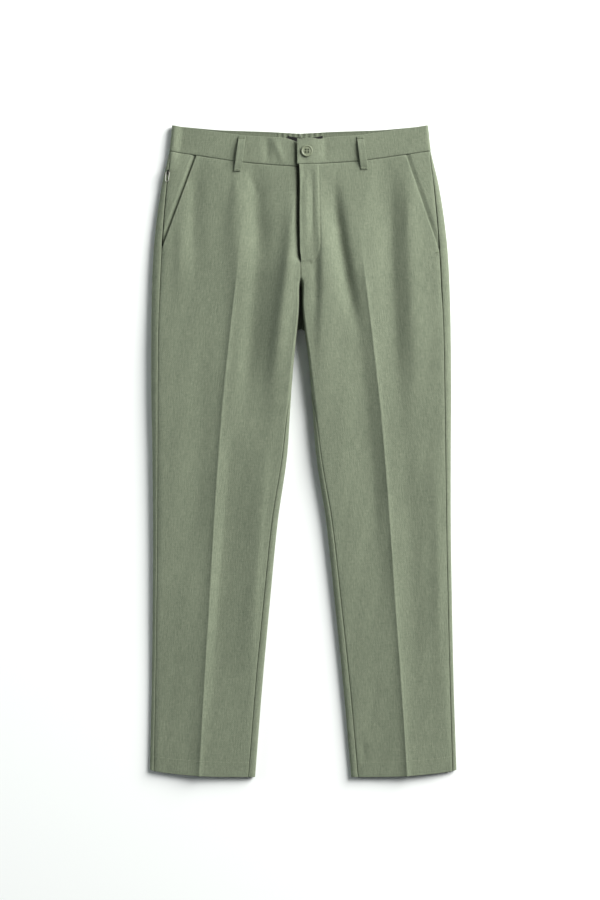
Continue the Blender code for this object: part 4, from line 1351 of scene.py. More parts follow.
class Grid:
    """A piece's columns at every station, to be read at its rows."""

    def __init__(self, piece: ClothPiece, start: float, end: float, step: float) -> None:
        """Works out the columns at every station.

        Args:
            piece: The piece.
            start: The first station's level.
            end: The last station's level.
            step: How far apart they are.
        """
        form = piece.form
        levels = np.arange(start, end + step, step)
        # The form jumps at the fork and at the saddle, so both have a station on each side.
        extra = [form.fork, form.fork + 0.02, form.saddle, form.saddle + 0.02]
        self.levels = np.unique(np.concatenate([levels, [e for e in extra if start < e < end]]))
        self.side, self.form = piece.side, form
        points, normals, columns = [], [], []
        for down in self.levels.tolist():
            ring = form.ring(piece.side, down, piece.start_off(down))
            columns.append(piece.columns(ring, down))
            spot, normal = ring.with_normals(columns[-1].at)
            points.append(spot)
            normals.append(normal)
        self.points, self.normals = np.array(points), np.array(normals)
        self.ats = np.array([c.at for c in columns])
        self.backs = np.array([c.back + 0 * c.at for c in columns])
        self.begins, self.ends, self.zeros = np.array([(c.begin, c.end, c.zero) for c in columns]).T

    def settle(self, rows: Array) -> Array:
        """The level of every row at every column, as rows bend with the waist seam and hem.

        Args:
            rows: The rows' own levels, as if seam and hem were straight.

        Returns:
            Levels, (row, column).
        """
        columns = self.points.shape[1]
        down = np.repeat(rows[:, None], columns, axis=1)
        for _ in range(6):
            for c in range(columns):
                off = np.interp(down[:, c], self.levels, self.points[:, c, 0])
                share = np.interp(down[:, c], self.levels, self.backs[:, c])
                over = self.form.row_down(self.side, rows, off, False)
                below = self.form.row_down(self.side, rows, off, True)
                down[:, c] = mix(over, below, share)
        return down

    def sheet(self, down: Array) -> Sheet:
        """The sheet with its rows at some levels.

        Args:
            down: Levels, (row, column).

        Returns:
            The sheet.
        """
        at = read_rows(self.levels, self.ats, down)
        return Sheet(
            side=self.side,
            points=read_rows(self.levels, self.points, down),
            normals=unit(read_rows(self.levels, self.normals, down)),
            down=down,
            at=at - np.interp(down, self.levels, self.zeros),
            from_first=at - np.interp(down, self.levels, self.begins),
            from_last=np.interp(down, self.levels, self.ends) - at,
            from_top=down - down[:1, :],
            from_low=down[-1:, :] - down,
        )


@dataclass(frozen=True)
class PanelRows:
    """The rows of a leg's panel: close at its ends, at the fork and above the hem.

    spans holds where each stretch ends and how many rows it has.
    """

    form: GarmentForm
    spans: tuple[tuple[float, int], ...] = (
        (243.0, 58), (273.0, 20), (384.0, 37), (1016.0, 158), (1028.0, 12),
    )
    last_count: int = 6

    def nominal(self) -> Array:
        """Works out every row, as it lies where the waist seam and hem are straight.

        Returns:
            Levels.
        """
        form = self.form
        rows = [form.first_row + EDGE_STEPS]
        spans = self.spans + ((form.length - EDGE_STEPS[-1], self.last_count),)
        for end, count in spans:
            rows.append(between(rows[-1][-1], end, count))
        rows.append(form.length - EDGE_STEPS[-2::-1])
        return np.concatenate(rows)

    def thickness(self, rows: Array, down: Array) -> Array:
        """The cloth's thickness, which is more where the hem is turned up.

        Args:
            rows: The rows' own levels.
            down: Their levels at every column.

        Returns:
            Thicknesses, (row, column).
        """
        form = self.form
        turned_up = rows[:, None] > form.length - form.hem_depth
        return np.broadcast_to(np.where(turned_up, form.hem_cloth, form.cloth), down.shape)


@dataclass(frozen=True)
class Dresser:
    """Gives a finished piece its body and its finish, and hides the nodes that it stands for."""

    body: str = "garment"

    def dress(self, piece: Object, finish: Finish, slot: Slot,
              replaces: tuple[str, ...] = ()) -> None:
        """Rides a piece, fills its material and hides what it replaces.

        Args:
            piece: The piece.
            finish: Its finish.
            slot: The record's material slot. It is not used.
            replaces: The nodes that it stands for.
        """
        piece.data.materials.clear()
        piece.data.materials.append(finish.material(piece.name + "_finish"))
        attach(piece, self.body)
        if replaces:
            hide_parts(*replaces)
        LOG.info("%s: %d faces", piece.name, len(piece.data.polygons))


# ---------------- the cut pieces


@dataclass(frozen=True)
class StitchLines:
    """Where the fly's topstitching runs, as (offset, down) points, and how it dents the cloth.

    The cloth inside the stitches is two plies, so it stands higher by ply_height.
    """

    fly: tuple[tuple[float, float], ...] = (
        (29.8, 67.0), (30.0, 90.0), (30.3, 122.0), (31.3, 162.0), (31.9, 190.0),
        (31.0, 200.0), (28.8, 208.0), (25.0, 215.0), (20.5, 220.4), (14.0, 222.6),
        (6.0, 223.0), (0.8, 222.6),
    )
    groove_depth: float = 0.55
    groove_width: float = 1.1
    ply_height: float = 0.8
    ply_fall: float = 1.6

    def groove(self, offset: Array, down: Array) -> Array:
        """How far the stitches pull the left front's cloth in.

        Args:
            offset: Places across, positive to +X.
            down: Their levels.

        Returns:
            Depths, below zero where the cloth stands higher.
        """
        near = self.distance(offset, down, self.fly)
        across, levels = zip(*self.fly[:-1])
        inside = (offset < np.interp(down, levels, across)) & (down < levels[-1])
        depth = self.groove_depth * np.exp(-((near / self.groove_width) ** 2))
        return depth - np.where(inside, self.ply_height * ease(near / self.ply_fall), 0.0)

    @staticmethod
    def distance(offset: Array, down: Array, line: tuple[tuple[float, float], ...]) -> Array:
        """How far places are from a line of points.

        Args:
            offset: Places across.
            down: Their levels.
            line: The points.

        Returns:
            Distances.
        """
        nearest = np.full(np.broadcast(offset, down).shape, np.inf)
        for (x0, y0), (x1, y1) in zip(line, line[1:]):
            dx, dy = x1 - x0, y1 - y0
            t = np.clip(((offset - x0) * dx + (down - y0) * dy) / (dx * dx + dy * dy), 0, 1)
            nearest = np.minimum(nearest, np.hypot(offset - x0 - t * dx, down - y0 - t * dy))
        return nearest


@dataclass(frozen=True)
class FrontPanel(ClothPiece):
    """One front, from the fly to the side seam or the pocket's mouth, and down to the hem."""

    cut_width: float = 262.0
    cut_length: float = 1003.0
    cut_area: float = 0.196
    fly_columns_reach: float = 26.0
    calm_top: float = 12.0
    calm_side: float = 9.0
    lapped_swell: float = 0.28
    mouth_rise: float = 1.2
    mouth_rise_reach: float = 4.0
    inseam_roll: float = 0.9
    inseam_roll_over: float = 30.0
    side_roll: float = 0.7
    top_roll: float = 0.9
    stitches: StitchLines = StitchLines()
    part: ClassVar[str] = "front"

    def start_off(self, down: float) -> float:
        """The front begins at the fly, and at the centre line below it."""
        form = self.form
        if down >= form.fork:
            return form.seam_gap / 2
        if self.side is Side.LEFT:
            return form.fly.at(down).off
        underlap = form.fly.at(down).underlap
        return -underlap if underlap > 1 else form.seam_gap / 2

    def columns(self, ring: Ring, down: float) -> Columns:
        """Close at both edges, by the fly and at the crease."""
        form = self.form
        begin = ring.marks["inseam"] + form.seam_half if down > form.saddle else 0.0
        if down < POCKETS[self.side].end_down:
            end = ring.on_top(form.mouth_off(self.side, down))
        else:
            end = ring.marks["outseam"] - form.seam_half_gap(self.side, down)
        crease, strip = ring.marks["crease"], ring.marks["inner_top"]
        by_fly = strip + self.fly_columns_reach
        at = np.concatenate([
            begin + EDGE_STEPS,
            between(begin + EDGE_STEPS[-1], strip, 15),
            between(strip, by_fly, 22),
            between(by_fly, crease - CREASE_STEPS[-1], 22),
            crease - CREASE_STEPS[-2::-1],
            [crease],
            crease + CREASE_STEPS,
            between(crease + CREASE_STEPS[-1], end - EDGE_STEPS[-1], 42),
            end - EDGE_STEPS[-2::-1],
        ])
        return Columns(at, begin, end, crease)

    def build(self) -> Object:
        """Builds the panel as a thin shell.

        Returns:
            The piece.
        """
        form, side, panel_rows = self.form, self.side, PanelRows(self.form)
        grid, rows = Grid(self, 40.0, 1048.0, 2.0), panel_rows.nominal()
        sheet = grid.sheet(grid.settle(rows))
        off, down = sheet.points[..., 0], sheet.down
        offset = side.value * off
        thickness = panel_rows.thickness(rows, down).copy()
        calm = (ease(sheet.from_top / self.calm_top) * ease(sheet.from_first / self.calm_side)
                * ease(sheet.from_last / self.calm_side))
        sink = -self.maker.slack(offset, down) * calm
        if side is Side.LEFT:
            sink += self.stitches.groove(offset, down)
            lift = form.fly_lift(off, down)
            sink -= lift
            thickness += self.lapped_swell * lift
        else:
            sink += form.fly_dip(off, down)
            rise = self.mouth_rise * np.exp(-sheet.from_last / self.mouth_rise_reach)
            sink -= np.where(down < POCKETS[side].end_down, rise, 0)
        above = ease((form.fork - down) / self.inseam_roll_over)
        first_roll = mix(self.inseam_roll, 0.0, above)
        sink += first_roll * np.exp(-sheet.from_first / self.maker.roll_reach)
        return self.maker.mesh("cloth_" + self.node(), sheet, sink, thickness,
                               (0.0, self.side_roll, self.top_roll, 0.0))


@dataclass(frozen=True)
class BackPanel(ClothPiece):
    """One back, from the side seam round the edge and along the ground to the inseam."""

    cut_width: float = 300.0
    cut_length: float = 1012.0
    cut_area: float = 0.225
    seam_columns_reach: float = 14.0
    seam_roll: float = 0.5
    top_roll: float = 0.3
    part: ClassVar[str] = "back"

    def rests_on(self) -> str:
        """The node that the piece lies on."""
        return "belt_loop_back_centre"

    def columns(self, ring: Ring, down: float) -> Columns:
        """From the side seam to the centre back or the inseam."""
        form = self.form
        begin = ring.marks["outseam"] + form.seam_half_gap(self.side, down)
        end, turn = ring.marks["end"], ring.marks["end"] - self.seam_columns_reach
        if ring.closed:
            turn = end
            end = end + ring.marks["inseam"] - form.seam_half
        seam, bottom = ring.marks["outseam"], ring.marks["bottom"]
        at = np.concatenate([
            begin + EDGE_STEPS,
            between(begin + EDGE_STEPS[-1], bottom, 14),
            between(bottom, turn, 34),
            between(turn, end - EDGE_STEPS[-1], 14),
            end - EDGE_STEPS[-2::-1],
        ])
        return Columns(at, begin, end, bottom, ease((at - seam) / (bottom - seam)))

    def build(self) -> Object:
        """Builds the panel as a thin shell.

        Returns:
            The piece.
        """
        panel_rows = PanelRows(self.form)
        grid, rows = Grid(self, 40.0, 1048.0, 2.0), panel_rows.nominal()
        sheet = grid.sheet(grid.settle(rows))
        thickness = panel_rows.thickness(rows, sheet.down)
        return self.maker.mesh("cloth_" + self.node(), sheet, np.zeros(sheet.down.shape), thickness,
                               (self.seam_roll, self.seam_roll, self.top_roll, 0.0))


@dataclass(frozen=True)
class Waistband(ClothPiece):
    """One half of the waistband, from the centre front round the side to the centre back.

    The back's top edge is rolled up by rim_height, so that it shows above the front's.
    """

    cut_width: float = 425.0
    cut_length: float = 41.0
    fly_level: float = 20.0
    turn_half: float = 6.0
    lap_columns_reach: float = 30.0
    dip_share: float = 0.6
    slack_share: float = 0.6
    slack_squeeze: float = 3.0
    gather_height: float = 0.9
    gather_pitch: float = 8.6
    gather_reach: float = 42.0
    gather_over: float = 8.0
    rim_height: float = 2.4
    rim_reach: float = 6.0
    rim_end: float = 196.0
    rim_over: float = 40.0
    end_roll: float = 0.2
    low_roll: float = 0.7
    part: ClassVar[str] = "waistband"

    def rests_on(self) -> str:
        """The node that the piece lies on."""
        return f"front_{self.side.word}"

    def start_off(self, down: float) -> float:
        """The band's end is straight, so it begins at the same place at every level."""
        edge = self.form.fly.at(self.fly_level)
        return edge.off if self.side is Side.LEFT else -edge.underlap

    def columns(self, ring: Ring, down: float) -> Columns:
        """Close at the fly, round the side and at the gathers."""
        end, tip, bottom = ring.marks["end"], ring.marks["tip"], ring.marks["bottom"]
        side_start = ring.on_top(self.form.sections.at(down).half_width - self.turn_half)
        gathers = end - self.gather_reach
        at = np.concatenate([
            EDGE_STEPS,
            between(EDGE_STEPS[-1], self.lap_columns_reach, 14),
            between(self.lap_columns_reach, side_start, 84),
            between(side_start, bottom, 16),
            between(bottom, gathers, 30),
            between(gathers, end - EDGE_STEPS[-1], 34),
            end - EDGE_STEPS[-2::-1],
        ])
        back = ease((at - tip + self.turn_half) / (2 * self.turn_half))
        return Columns(at, 0.0, end, tip, back)

    def rows(self, grid: Grid) -> tuple[Array, Array, Array]:
        """The rows, evenly between the band's own top and low edge.

        Args:
            grid: The band's columns.

        Returns:
            Each row's share of the way down, (row, 1), its levels and its shares on the
            back, both (row, column).
        """
        form, side, depth = self.form, self.side, self.cut_length
        middle = between(EDGE_STEPS[-1], depth - EDGE_STEPS[-1], 14)
        share_down = np.concatenate([EDGE_STEPS, middle, depth - EDGE_STEPS[-2::-1]])
        share_down = (share_down / depth)[:, None]
        down = np.full((len(share_down), grid.points.shape[1]), 40.0)
        for _ in range(6):
            off = np.abs(read_rows(grid.levels, grid.points, down)[..., 0])
            back = read_rows(grid.levels, grid.backs, down)
            top = mix(form.band_top(side, off), form.band.column("back_top", off), back)
            low = mix(form.waist_seam(side, off, False), form.waist_seam(side, off, True), back)
            down = mix(top, low, share_down)
        return share_down, down, back

    def build(self) -> Object:
        """Builds the band as a shell with a folded top.

        Returns:
            The piece.
        """
        form, side = self.form, self.side
        grid = Grid(self, -2.0, 70.0, 1.0)
        share_down, down, back = self.rows(grid)
        sheet = grid.sheet(down)
        off, front = sheet.points[..., 0], 1 - back
        sink = np.full(down.shape, -form.band_proud)
        if side is Side.LEFT:
            sink -= form.fly_lift(off, down) * front
        else:
            sink += form.fly_dip(off, down) * self.dip_share * front
        slack = self.maker.slack(side.value * off, down * self.slack_squeeze, self.slack_share)
        sink -= slack * front * ease(off / self.lap_columns_reach)
        rim = self.rim_height * np.exp(-sheet.from_top / self.rim_reach)
        sink += rim * back * ease((self.rim_end - np.abs(off)) / self.rim_over)
        wave = np.cos(2 * math.pi * np.abs(off) / self.gather_pitch)
        fade = ease((self.gather_reach - np.abs(off)) / self.gather_over)
        gather = self.gather_height * (fade * (1 - 0.5 * share_down) * back) * wave
        return self.maker.mesh("cloth_" + self.node(), sheet, sink, form.band_cloth + gather * 0.5,
                               (0.0, self.end_roll, 0.0, self.low_roll))


@dataclass(frozen=True)
class PocketFacing(ClothPiece):
    """The piece that shows under a slant pocket's mouth. The right pocket gapes a little."""

    cut_width: float = 62.0
    cut_length: float = 155.0
    cut_area: float = 0.0052
    sink_at_mouth: float = 1.9
    gape: float = 1.6
    underlap: float = 8.0
    rise: float = 9.0
    end_down: float = 197.0
    side_roll: float = 0.6
    top_roll: float = 0.9
    part: ClassVar[str] = "pocket_facing"

    def columns(self, ring: Ring, down: float) -> Columns:
        """From under the front to the side seam."""
        mouth = self.form.mouth_off(self.side, down)
        begin, seen = ring.on_top(mouth - self.underlap), ring.on_top(mouth)
        end = ring.marks["outseam"] - self.form.seam_half_gap(self.side, down)
        if end - seen < 2 * EDGE_STEPS[-1]:
            shown = np.linspace(seen, end, 34)
        else:
            shown = np.concatenate([np.linspace(seen, end - EDGE_STEPS[-1], 28),
                                    end - EDGE_STEPS[-2::-1]])
        at = np.concatenate([np.linspace(begin, seen, 6)[:-1], shown])
        return Columns(at, begin, end, seen)

    def build(self) -> Object:
        """Builds the facing as a thin shell.

        Returns:
            The piece.
        """
        form, side = self.form, self.side
        grid = Grid(self, 40.0, 200.0, 1.0)
        rows = form.first_row + EDGE_STEPS
        sheet = grid.sheet(grid.settle(np.concatenate([rows, between(rows[-1], self.end_down, 44)])))
        mouth = form.mouth_off(side, sheet.down)
        depth = self.sink_at_mouth + (self.gape if side is Side.RIGHT else 0.0)
        sink = depth * (1 - ease((sheet.points[..., 0] - mouth) / self.rise))
        return self.maker.mesh("cloth_" + self.node(), sheet, sink,
                               np.full(sheet.down.shape, form.cloth),
                               (0.0, self.side_roll, self.top_roll, 0.0))


# ---------------- loops, label, button


@dataclass(frozen=True)
class LoopPlace:
    """Where a belt loop is sewn on, and the node that it lies on."""

    name: str
    top_off: float
    top_down: float
    end_off: float
    end_down: float
    rests_on: str

    def at(self, share: float) -> tuple[float, float]:
        """The loop's middle line, as (offset, down), at a share of its length."""
        return mix(self.top_off, self.end_off, share), mix(self.top_down, self.end_down, share)


FRONT_LOOPS = (
    LoopPlace("belt_loop_front_right", -92.5, 19.6, -100.3, 75.2, "waistband_right"),
    LoopPlace("belt_loop_front_left", 96.3, 20.2, 102.6, 72.4, "waistband_left"),
)
BACK_LOOPS = (
    LoopPlace("belt_loop_back_right", -118.0, 10.5, -118.0, 65.5, "back_left"),
    LoopPlace("belt_loop_back_centre", 0.0, 17.0, 0.0, 72.0, "back_left"),
    LoopPlace("belt_loop_back_left", 118.0, 10.5, 118.0, 65.5, "back_left"),
)


@dataclass(frozen=True)
class BeltLoop:
    """A belt loop: a folded strip, sewn down at both ends. The back ones lie on the ground."""

    place: LoopPlace
    form: GarmentForm
    maker: ClothMaker
    width: float = 11.5
    cloth: float = 1.4
    back_cloth: float = 1.1
    arch: float = 3.0
    arch_power: float = 0.7
    sewn: float = 0.08
    touch: float = 3.0
    fold_radius: float = 0.55
    dip: float = 0.12
    dip_reach: float = 2.4
    steps: int = 40
    cut_width: float = 12.5
    cut_length: float = 60.0

    def height(self, share: float, offset: float, down: float) -> float:
        """How high the strip's underside lies on the front.

        Args:
            share: The place's share of the strip's length.
            offset: The place across.
            down: The place's level.

        Returns:
            The height above the ground.
        """
        free = min(max((share - self.sewn) / (1 - 2 * self.sewn), 0), 1)
        base = max(
            self.form.top_height(offset + dx, down + dy)
            for dx in (-self.width / 2, 0, self.width / 2) for dy in (-self.touch, 0, self.touch)
        )
        lift = self.arch * math.sin(math.pi * free) ** self.arch_power
        return base + self.form.layer_gap + lift

    def build(self) -> Object:
        """Builds the strip, with rounded folds at its edges and a shallow middle.

        Returns:
            The piece.
        """
        on_front, half = self.place in FRONT_LOOPS, self.width / 2
        across = np.array([-half, -half + 0.25, -half + 0.7, -half + 1.4, -3.0, -1.5, 0.0,
                           1.5, 3.0, half - 1.4, half - 0.7, half - 0.25, half])
        thickness = self.cloth if on_front else self.back_cloth
        rows = []
        for i in range(self.steps + 1):
            share = i / self.steps
            offset, down = self.place.at(share)
            rows.append((offset, down, self.height(share, offset, down) if on_front else 0.0))
        path = np.array(rows)
        slope = np.gradient(path[:, 1:], axis=0)
        up = unit(np.stack([slope[:, 1], slope[:, 0]], axis=-1))
        edge = self.maker.round_edge(half - np.abs(across), self.fold_radius)
        dip = self.dip * np.exp(-((across / self.dip_reach) ** 2))
        outer, inner = [], []
        for (offset, down, height), (rise_down, rise_up) in zip(path, up):
            x = offset + across
            for rows_out, lift in ((outer, thickness - edge - dip), (inner, edge * 0.8)):
                y = down - rise_down * lift * (1 if on_front else 0)
                rows_out.append(self.form.place(Side.LEFT, x, y, height + rise_up * lift))
        cut = np.stack(np.broadcast_arrays(across[None, :] * MM, path[:, 1:2] * MM, 0.3), axis=-1)
        return grid_shell("cloth_" + self.place.name, outer, inner, cut)

    def dress(self, piece: Object, dresser: Dresser) -> None:
        """Gives the loop its cloth."""
        dresser.dress(piece, SuitingWeave(), Slot.CLOTH, (self.place.name,))


@dataclass(frozen=True)
class InnerLabel:
    """The bare label on the inside of the back waistband. Its top edge sags at the middle."""

    form: GarmentForm
    width: float = 56.0
    top: float = 17.4
    low: float = 46.0
    off: float = 8.4
    sag: float = 3.4
    cloth: float = 0.8
    height: float = 5.5
    wave_height: float = 0.14
    wave_turns: float = 19.0
    tape: WovenTape = WovenTape(light="#1D1D1F", dark="#0F0F10", rib_mm=7.54)

    def build(self) -> Object:
        """Builds the tape, with a slight wave.

        Returns:
            The piece.
        """
        across = np.linspace(-0.5, 0.5, 41)
        outer, inner, cuts = [], [], []
        for share in np.linspace(0, 1, 15):
            down = mix(self.top, self.low, share) + self.sag * (1 - share) * (1 - 4 * across**2)
            x = self.off + self.width * across
            wave = self.wave_height * np.sin(across * self.wave_turns) * (1 - share)
            inner.append(self.form.place(Side.LEFT, x, down, self.height + 0 * x))
            outer.append(self.form.place(Side.LEFT, x, down, self.height + self.cloth + wave))
            cuts.append(np.stack([x * MM, down * MM, 0 * x], axis=-1))
        return grid_shell("tape_inner_label", outer, inner, cuts)

    def dress(self, piece: Object, dresser: Dresser) -> None:
        """Gives the label its black tape."""
        dresser.dress(piece, self.tape, Slot.LABEL, ("inner_label",))


def turned(name: str, profile: Iterable[tuple[float, float]], sides: int) -> Object:
    """A closed form turned about Z.

    Args:
        name: Its name.
        profile: Points on its outline as (radius, height), in millimetres.
        sides: How many sides the turned form has.

    Returns:
        The object.
    """
    rings = list(profile)
    angles = np.arange(sides) * 2 * math.pi / sides
    points = [(r * math.cos(a) * MM, r * math.sin(a) * MM, z * MM) for r, z in rings for a in angles]
    faces = []
    for k in range(len(rings) - 1):
        for i in range(sides):
            j = (i + 1) % sides
            faces.append((k * sides + i, k * sides + j, (k + 1) * sides + j, (k + 1) * sides + i))
    faces.append(tuple(range(sides))[::-1])
    faces.append(tuple(range((len(rings) - 1) * sides, len(rings) * sides)))
    data = bpy.data.meshes.new(name)
    data.from_pydata(points, [], faces)
    return link(name, data, TURNED_SHARP)


@dataclass(frozen=True)
class WaistButton:
    """The four-hole trouser button, with the thread that holds it.

    profile is (share of the radius, height): the underside's edge, the raised rim and the
    dished middle.
    """

    form: GarmentForm
    offset: float = 10.9
    down: float = 43.8
    radius: float = 9.3
    profile: tuple[tuple[float, float], ...] = (
        (0.5, 0.0), (0.8, 0.1), (0.93, 0.5), (0.99, 1.0), (1.0, 1.35), (0.985, 1.75),
        (0.95, 2.05), (0.9, 2.2), (0.84, 2.2), (0.78, 2.05), (0.73, 1.75), (0.68, 1.55),
        (0.62, 1.5), (0.57, 1.55), (0.5, 1.65), (0.3, 1.7),
    )
    sides: int = 72
    hole_sides: int = 24
    hole_spacing: float = 4.1
    hole_radius: float = 1.45
    thread_radius: float = 0.16
    thread_rise: tuple[float, float, float] = (0.4, 1.7, 1.95)
    thread_inset: float = 0.6

    def spot(self) -> Vector:
        """Where the button's underside is centred, just clear of the cloth under it.

        Returns:
            The place, in metres.
        """
        base = max(
            self.form.top_height(self.offset + self.radius * math.cos(a),
                                 self.down + self.radius * math.sin(a))
            for a in np.linspace(0, 2 * math.pi, 13)
        )
        height = base + self.form.layer_gap
        return Vector(self.form.place(Side.LEFT, self.offset, self.down, height).tolist())

    def build(self) -> Object:
        """Builds the button, turned, with its four holes cut through.

        Returns:
            The piece.
        """
        outline = [(self.radius * share, height) for share, height in self.profile]
        button = turned("button_waist", outline, self.sides)
        half = self.hole_spacing / 2
        cutter = [(self.hole_radius, -1.0), (self.hole_radius, 4.0)]
        for i, (x, y) in enumerate(((-half, -half), (half, -half), (half, half), (-half, half))):
            hole = turned(f"hole_{i}", cutter, self.hole_sides)
            hole.location = (x * MM, y * MM, 0)
            cut = button.modifiers.new("hole", "BOOLEAN")
            cut.operation, cut.object, cut.solver = "DIFFERENCE", hole, "EXACT"
            bpy.context.view_layer.update()
            apply_modifiers(button)
            bpy.data.objects.remove(hole)
        button.location = self.spot()
        return button

    def thread(self, threads: "ThreadMaker") -> Object:
        """Lays two double bars of thread through the holes.

        Args:
            threads: What makes threads.

        Returns:
            The piece.
        """
        base, half = self.spot(), self.hole_spacing / 2
        reach = half - self.thread_inset * self.hole_radius
        low, high, crown = self.thread_rise
        runs = []
        for y in (-half, half):
            for beside in (y - self.thread_radius, y + self.thread_radius):
                points = [(-reach, beside, low), (-reach, beside, high), (0, beside, crown),
                          (reach, beside, high), (reach, beside, low)]
                runs.append([base + Vector(point) * MM for point in points])
        return threads.mesh("thread_button", runs, self.thread_radius)

    def dress(self, piece: Object, dresser: Dresser) -> None:
        """Dyed resin."""
        dresser.dress(piece, CastPolyester(), Slot.BUTTON, ("waist_button",))


def apply_modifiers(thing: Object) -> None:
    """Makes a piece's modifiers part of its mesh.

    Args:
        thing: The piece.
    """
    graph = bpy.context.evaluated_depsgraph_get()
    data = bpy.data.meshes.new_from_object(thing.evaluated_get(graph))
    thing.modifiers.clear()
    thing.data = data
    data.shade_smooth()
    data.set_sharp_from_angle(angle=math.radians(TURNED_SHARP))


# ---------------- sewing


@dataclass(frozen=True)
class ThreadMaker:
    """Threads, as short round runs that all join one mesh. A run's two ends are thinner."""

    sides: int = 6
    end_share: float = 0.7

    def mesh(self, name: str, runs: list[list[Vector]], radius: float) -> Object:
        """One mesh from many runs of thread.

        Args:
            name: The piece's name.
            runs: Each run's points, in metres.
            radius: The thread's radius in millimetres.

        Returns:
            The piece.
        """
        points: list[Vector] = []
        faces: list[tuple[int, ...]] = []
        n = self.sides
        for run in runs:
            first = len(points)
            for i, spot in enumerate(run):
                along = (run[min(i + 1, len(run) - 1)] - run[max(i - 1, 0)]).normalized()
                side = along.cross(Vector((0, 0, 1)))
                side = side.normalized() if side.length > 0.1 else Vector((1, 0, 0))
                up = side.cross(along)
                size = radius * MM * (self.end_share if i in (0, len(run) - 1) else 1.0)
                for k in range(n):
                    a = 2 * math.pi * k / n
                    points.append(spot + (side * math.cos(a) + up * math.sin(a)) * size)
            for i in range(len(run) - 1):
                for k in range(n):
                    j, base = (k + 1) % n, first + i * n
                    faces.append((base + k, base + j, base + n + j, base + n + k))
            faces.append(tuple(first + k for k in range(n))[::-1])
            last = first + (len(run) - 1) * n
            faces.append(tuple(last + k for k in range(n)))
        data = bpy.data.meshes.new(name)
        data.from_pydata([tuple(p) for p in points], [], faces)
        return link(name, data, THREAD_SHARP)


class Ground:
    """The dressed cloth's upper surface, for laying sewing on it."""

    def __init__(self, form: GarmentForm, pieces: list[Object]) -> None:
        """Keeps a search tree of each piece.

        Args:
            form: The garment.
            pieces: The pieces that sewing is laid on.
        """
        self.form, self.trees = form, []
        for piece in pieces:
            points = [piece.matrix_world @ v.co for v in piece.data.vertices]
            faces = [face.vertices for face in piece.data.polygons]
            self.trees.append(BVHTree.FromPolygons(points, faces))

    def spot(self, offset: float, down: float, lift: float) -> Vector:
        """A place on the cloth.

        Args:
            offset: The place across.
            down: Its level.
            lift: How far over the cloth it is.

        Returns:
            The place, in metres.
        """
        above = Vector(self.form.place(Side.LEFT, offset, down, 60.0).tolist())
        height = 0.0
        for tree in self.trees:
            hit = tree.ray_cast(above, Vector((0, 0, -1)))[0]
            if hit is not None:
                height = max(height, hit.z)
        return Vector((above.x, above.y, height + lift * MM))


@dataclass(frozen=True)
class SewingLine:
    """A run of topstitches on a line of (offset, down) points.

    profile is each stitch's height over the cloth at shares of its length: it dips into the
    cloth at both ends.
    """

    name: str
    line: tuple[tuple[float, float], ...]
    start: float = 0.3
    pitch: float = 2.9
    length: float = 2.3
    radius: float = 0.2
    profile: tuple[tuple[float, float], ...] = (
        (0.0, -0.28), (0.22, 0.06), (0.5, 0.14), (0.78, 0.06), (1.0, -0.28),
    )

    def runs(self, ground: Ground) -> list[list[Vector]]:
        """Lays the stitches.

        Args:
            ground: The cloth.

        Returns:
            Each stitch's points.
        """
        line = np.array(self.line)
        steps = np.concatenate([[0], np.cumsum(np.hypot(*np.diff(line, axis=0).T))])
        out = []
        for start in np.arange(self.start, steps[-1] - self.length, self.pitch):
            run = []
            for share, lift in self.profile:
                at = start + share * self.length
                offset, down = (np.interp(at, steps, line[:, k]) for k in (0, 1))
                run.append(ground.spot(float(offset), float(down), lift))
            out.append(run)
        return out


@dataclass(frozen=True)
class Bartack:
    """A short dense bar of zigzag stitches that holds a seam's end."""

    start: tuple[float, float]
    end: tuple[float, float]
    width: float = 1.8
    pitch: float = 0.55
    lift: float = 0.16

    def run(self, ground: Ground) -> list[Vector]:
        """Lays the bar as one long zigzag thread.

        Args:
            ground: The cloth.

        Returns:
            The thread's points.
        """
        start, end = np.array(self.start), np.array(self.end)
        along = end - start
        length = float(np.hypot(*along))
        across = np.array([-along[1], along[0]]) / length * self.width / 2
        count = max(4, round(length / self.pitch))
        run = []
        for i in range(count + 1):
            spot = start + along * i / count + across * (1 if i % 2 else -1)
            run.append(ground.spot(float(spot[0]), float(spot[1]), self.lift))
        return run


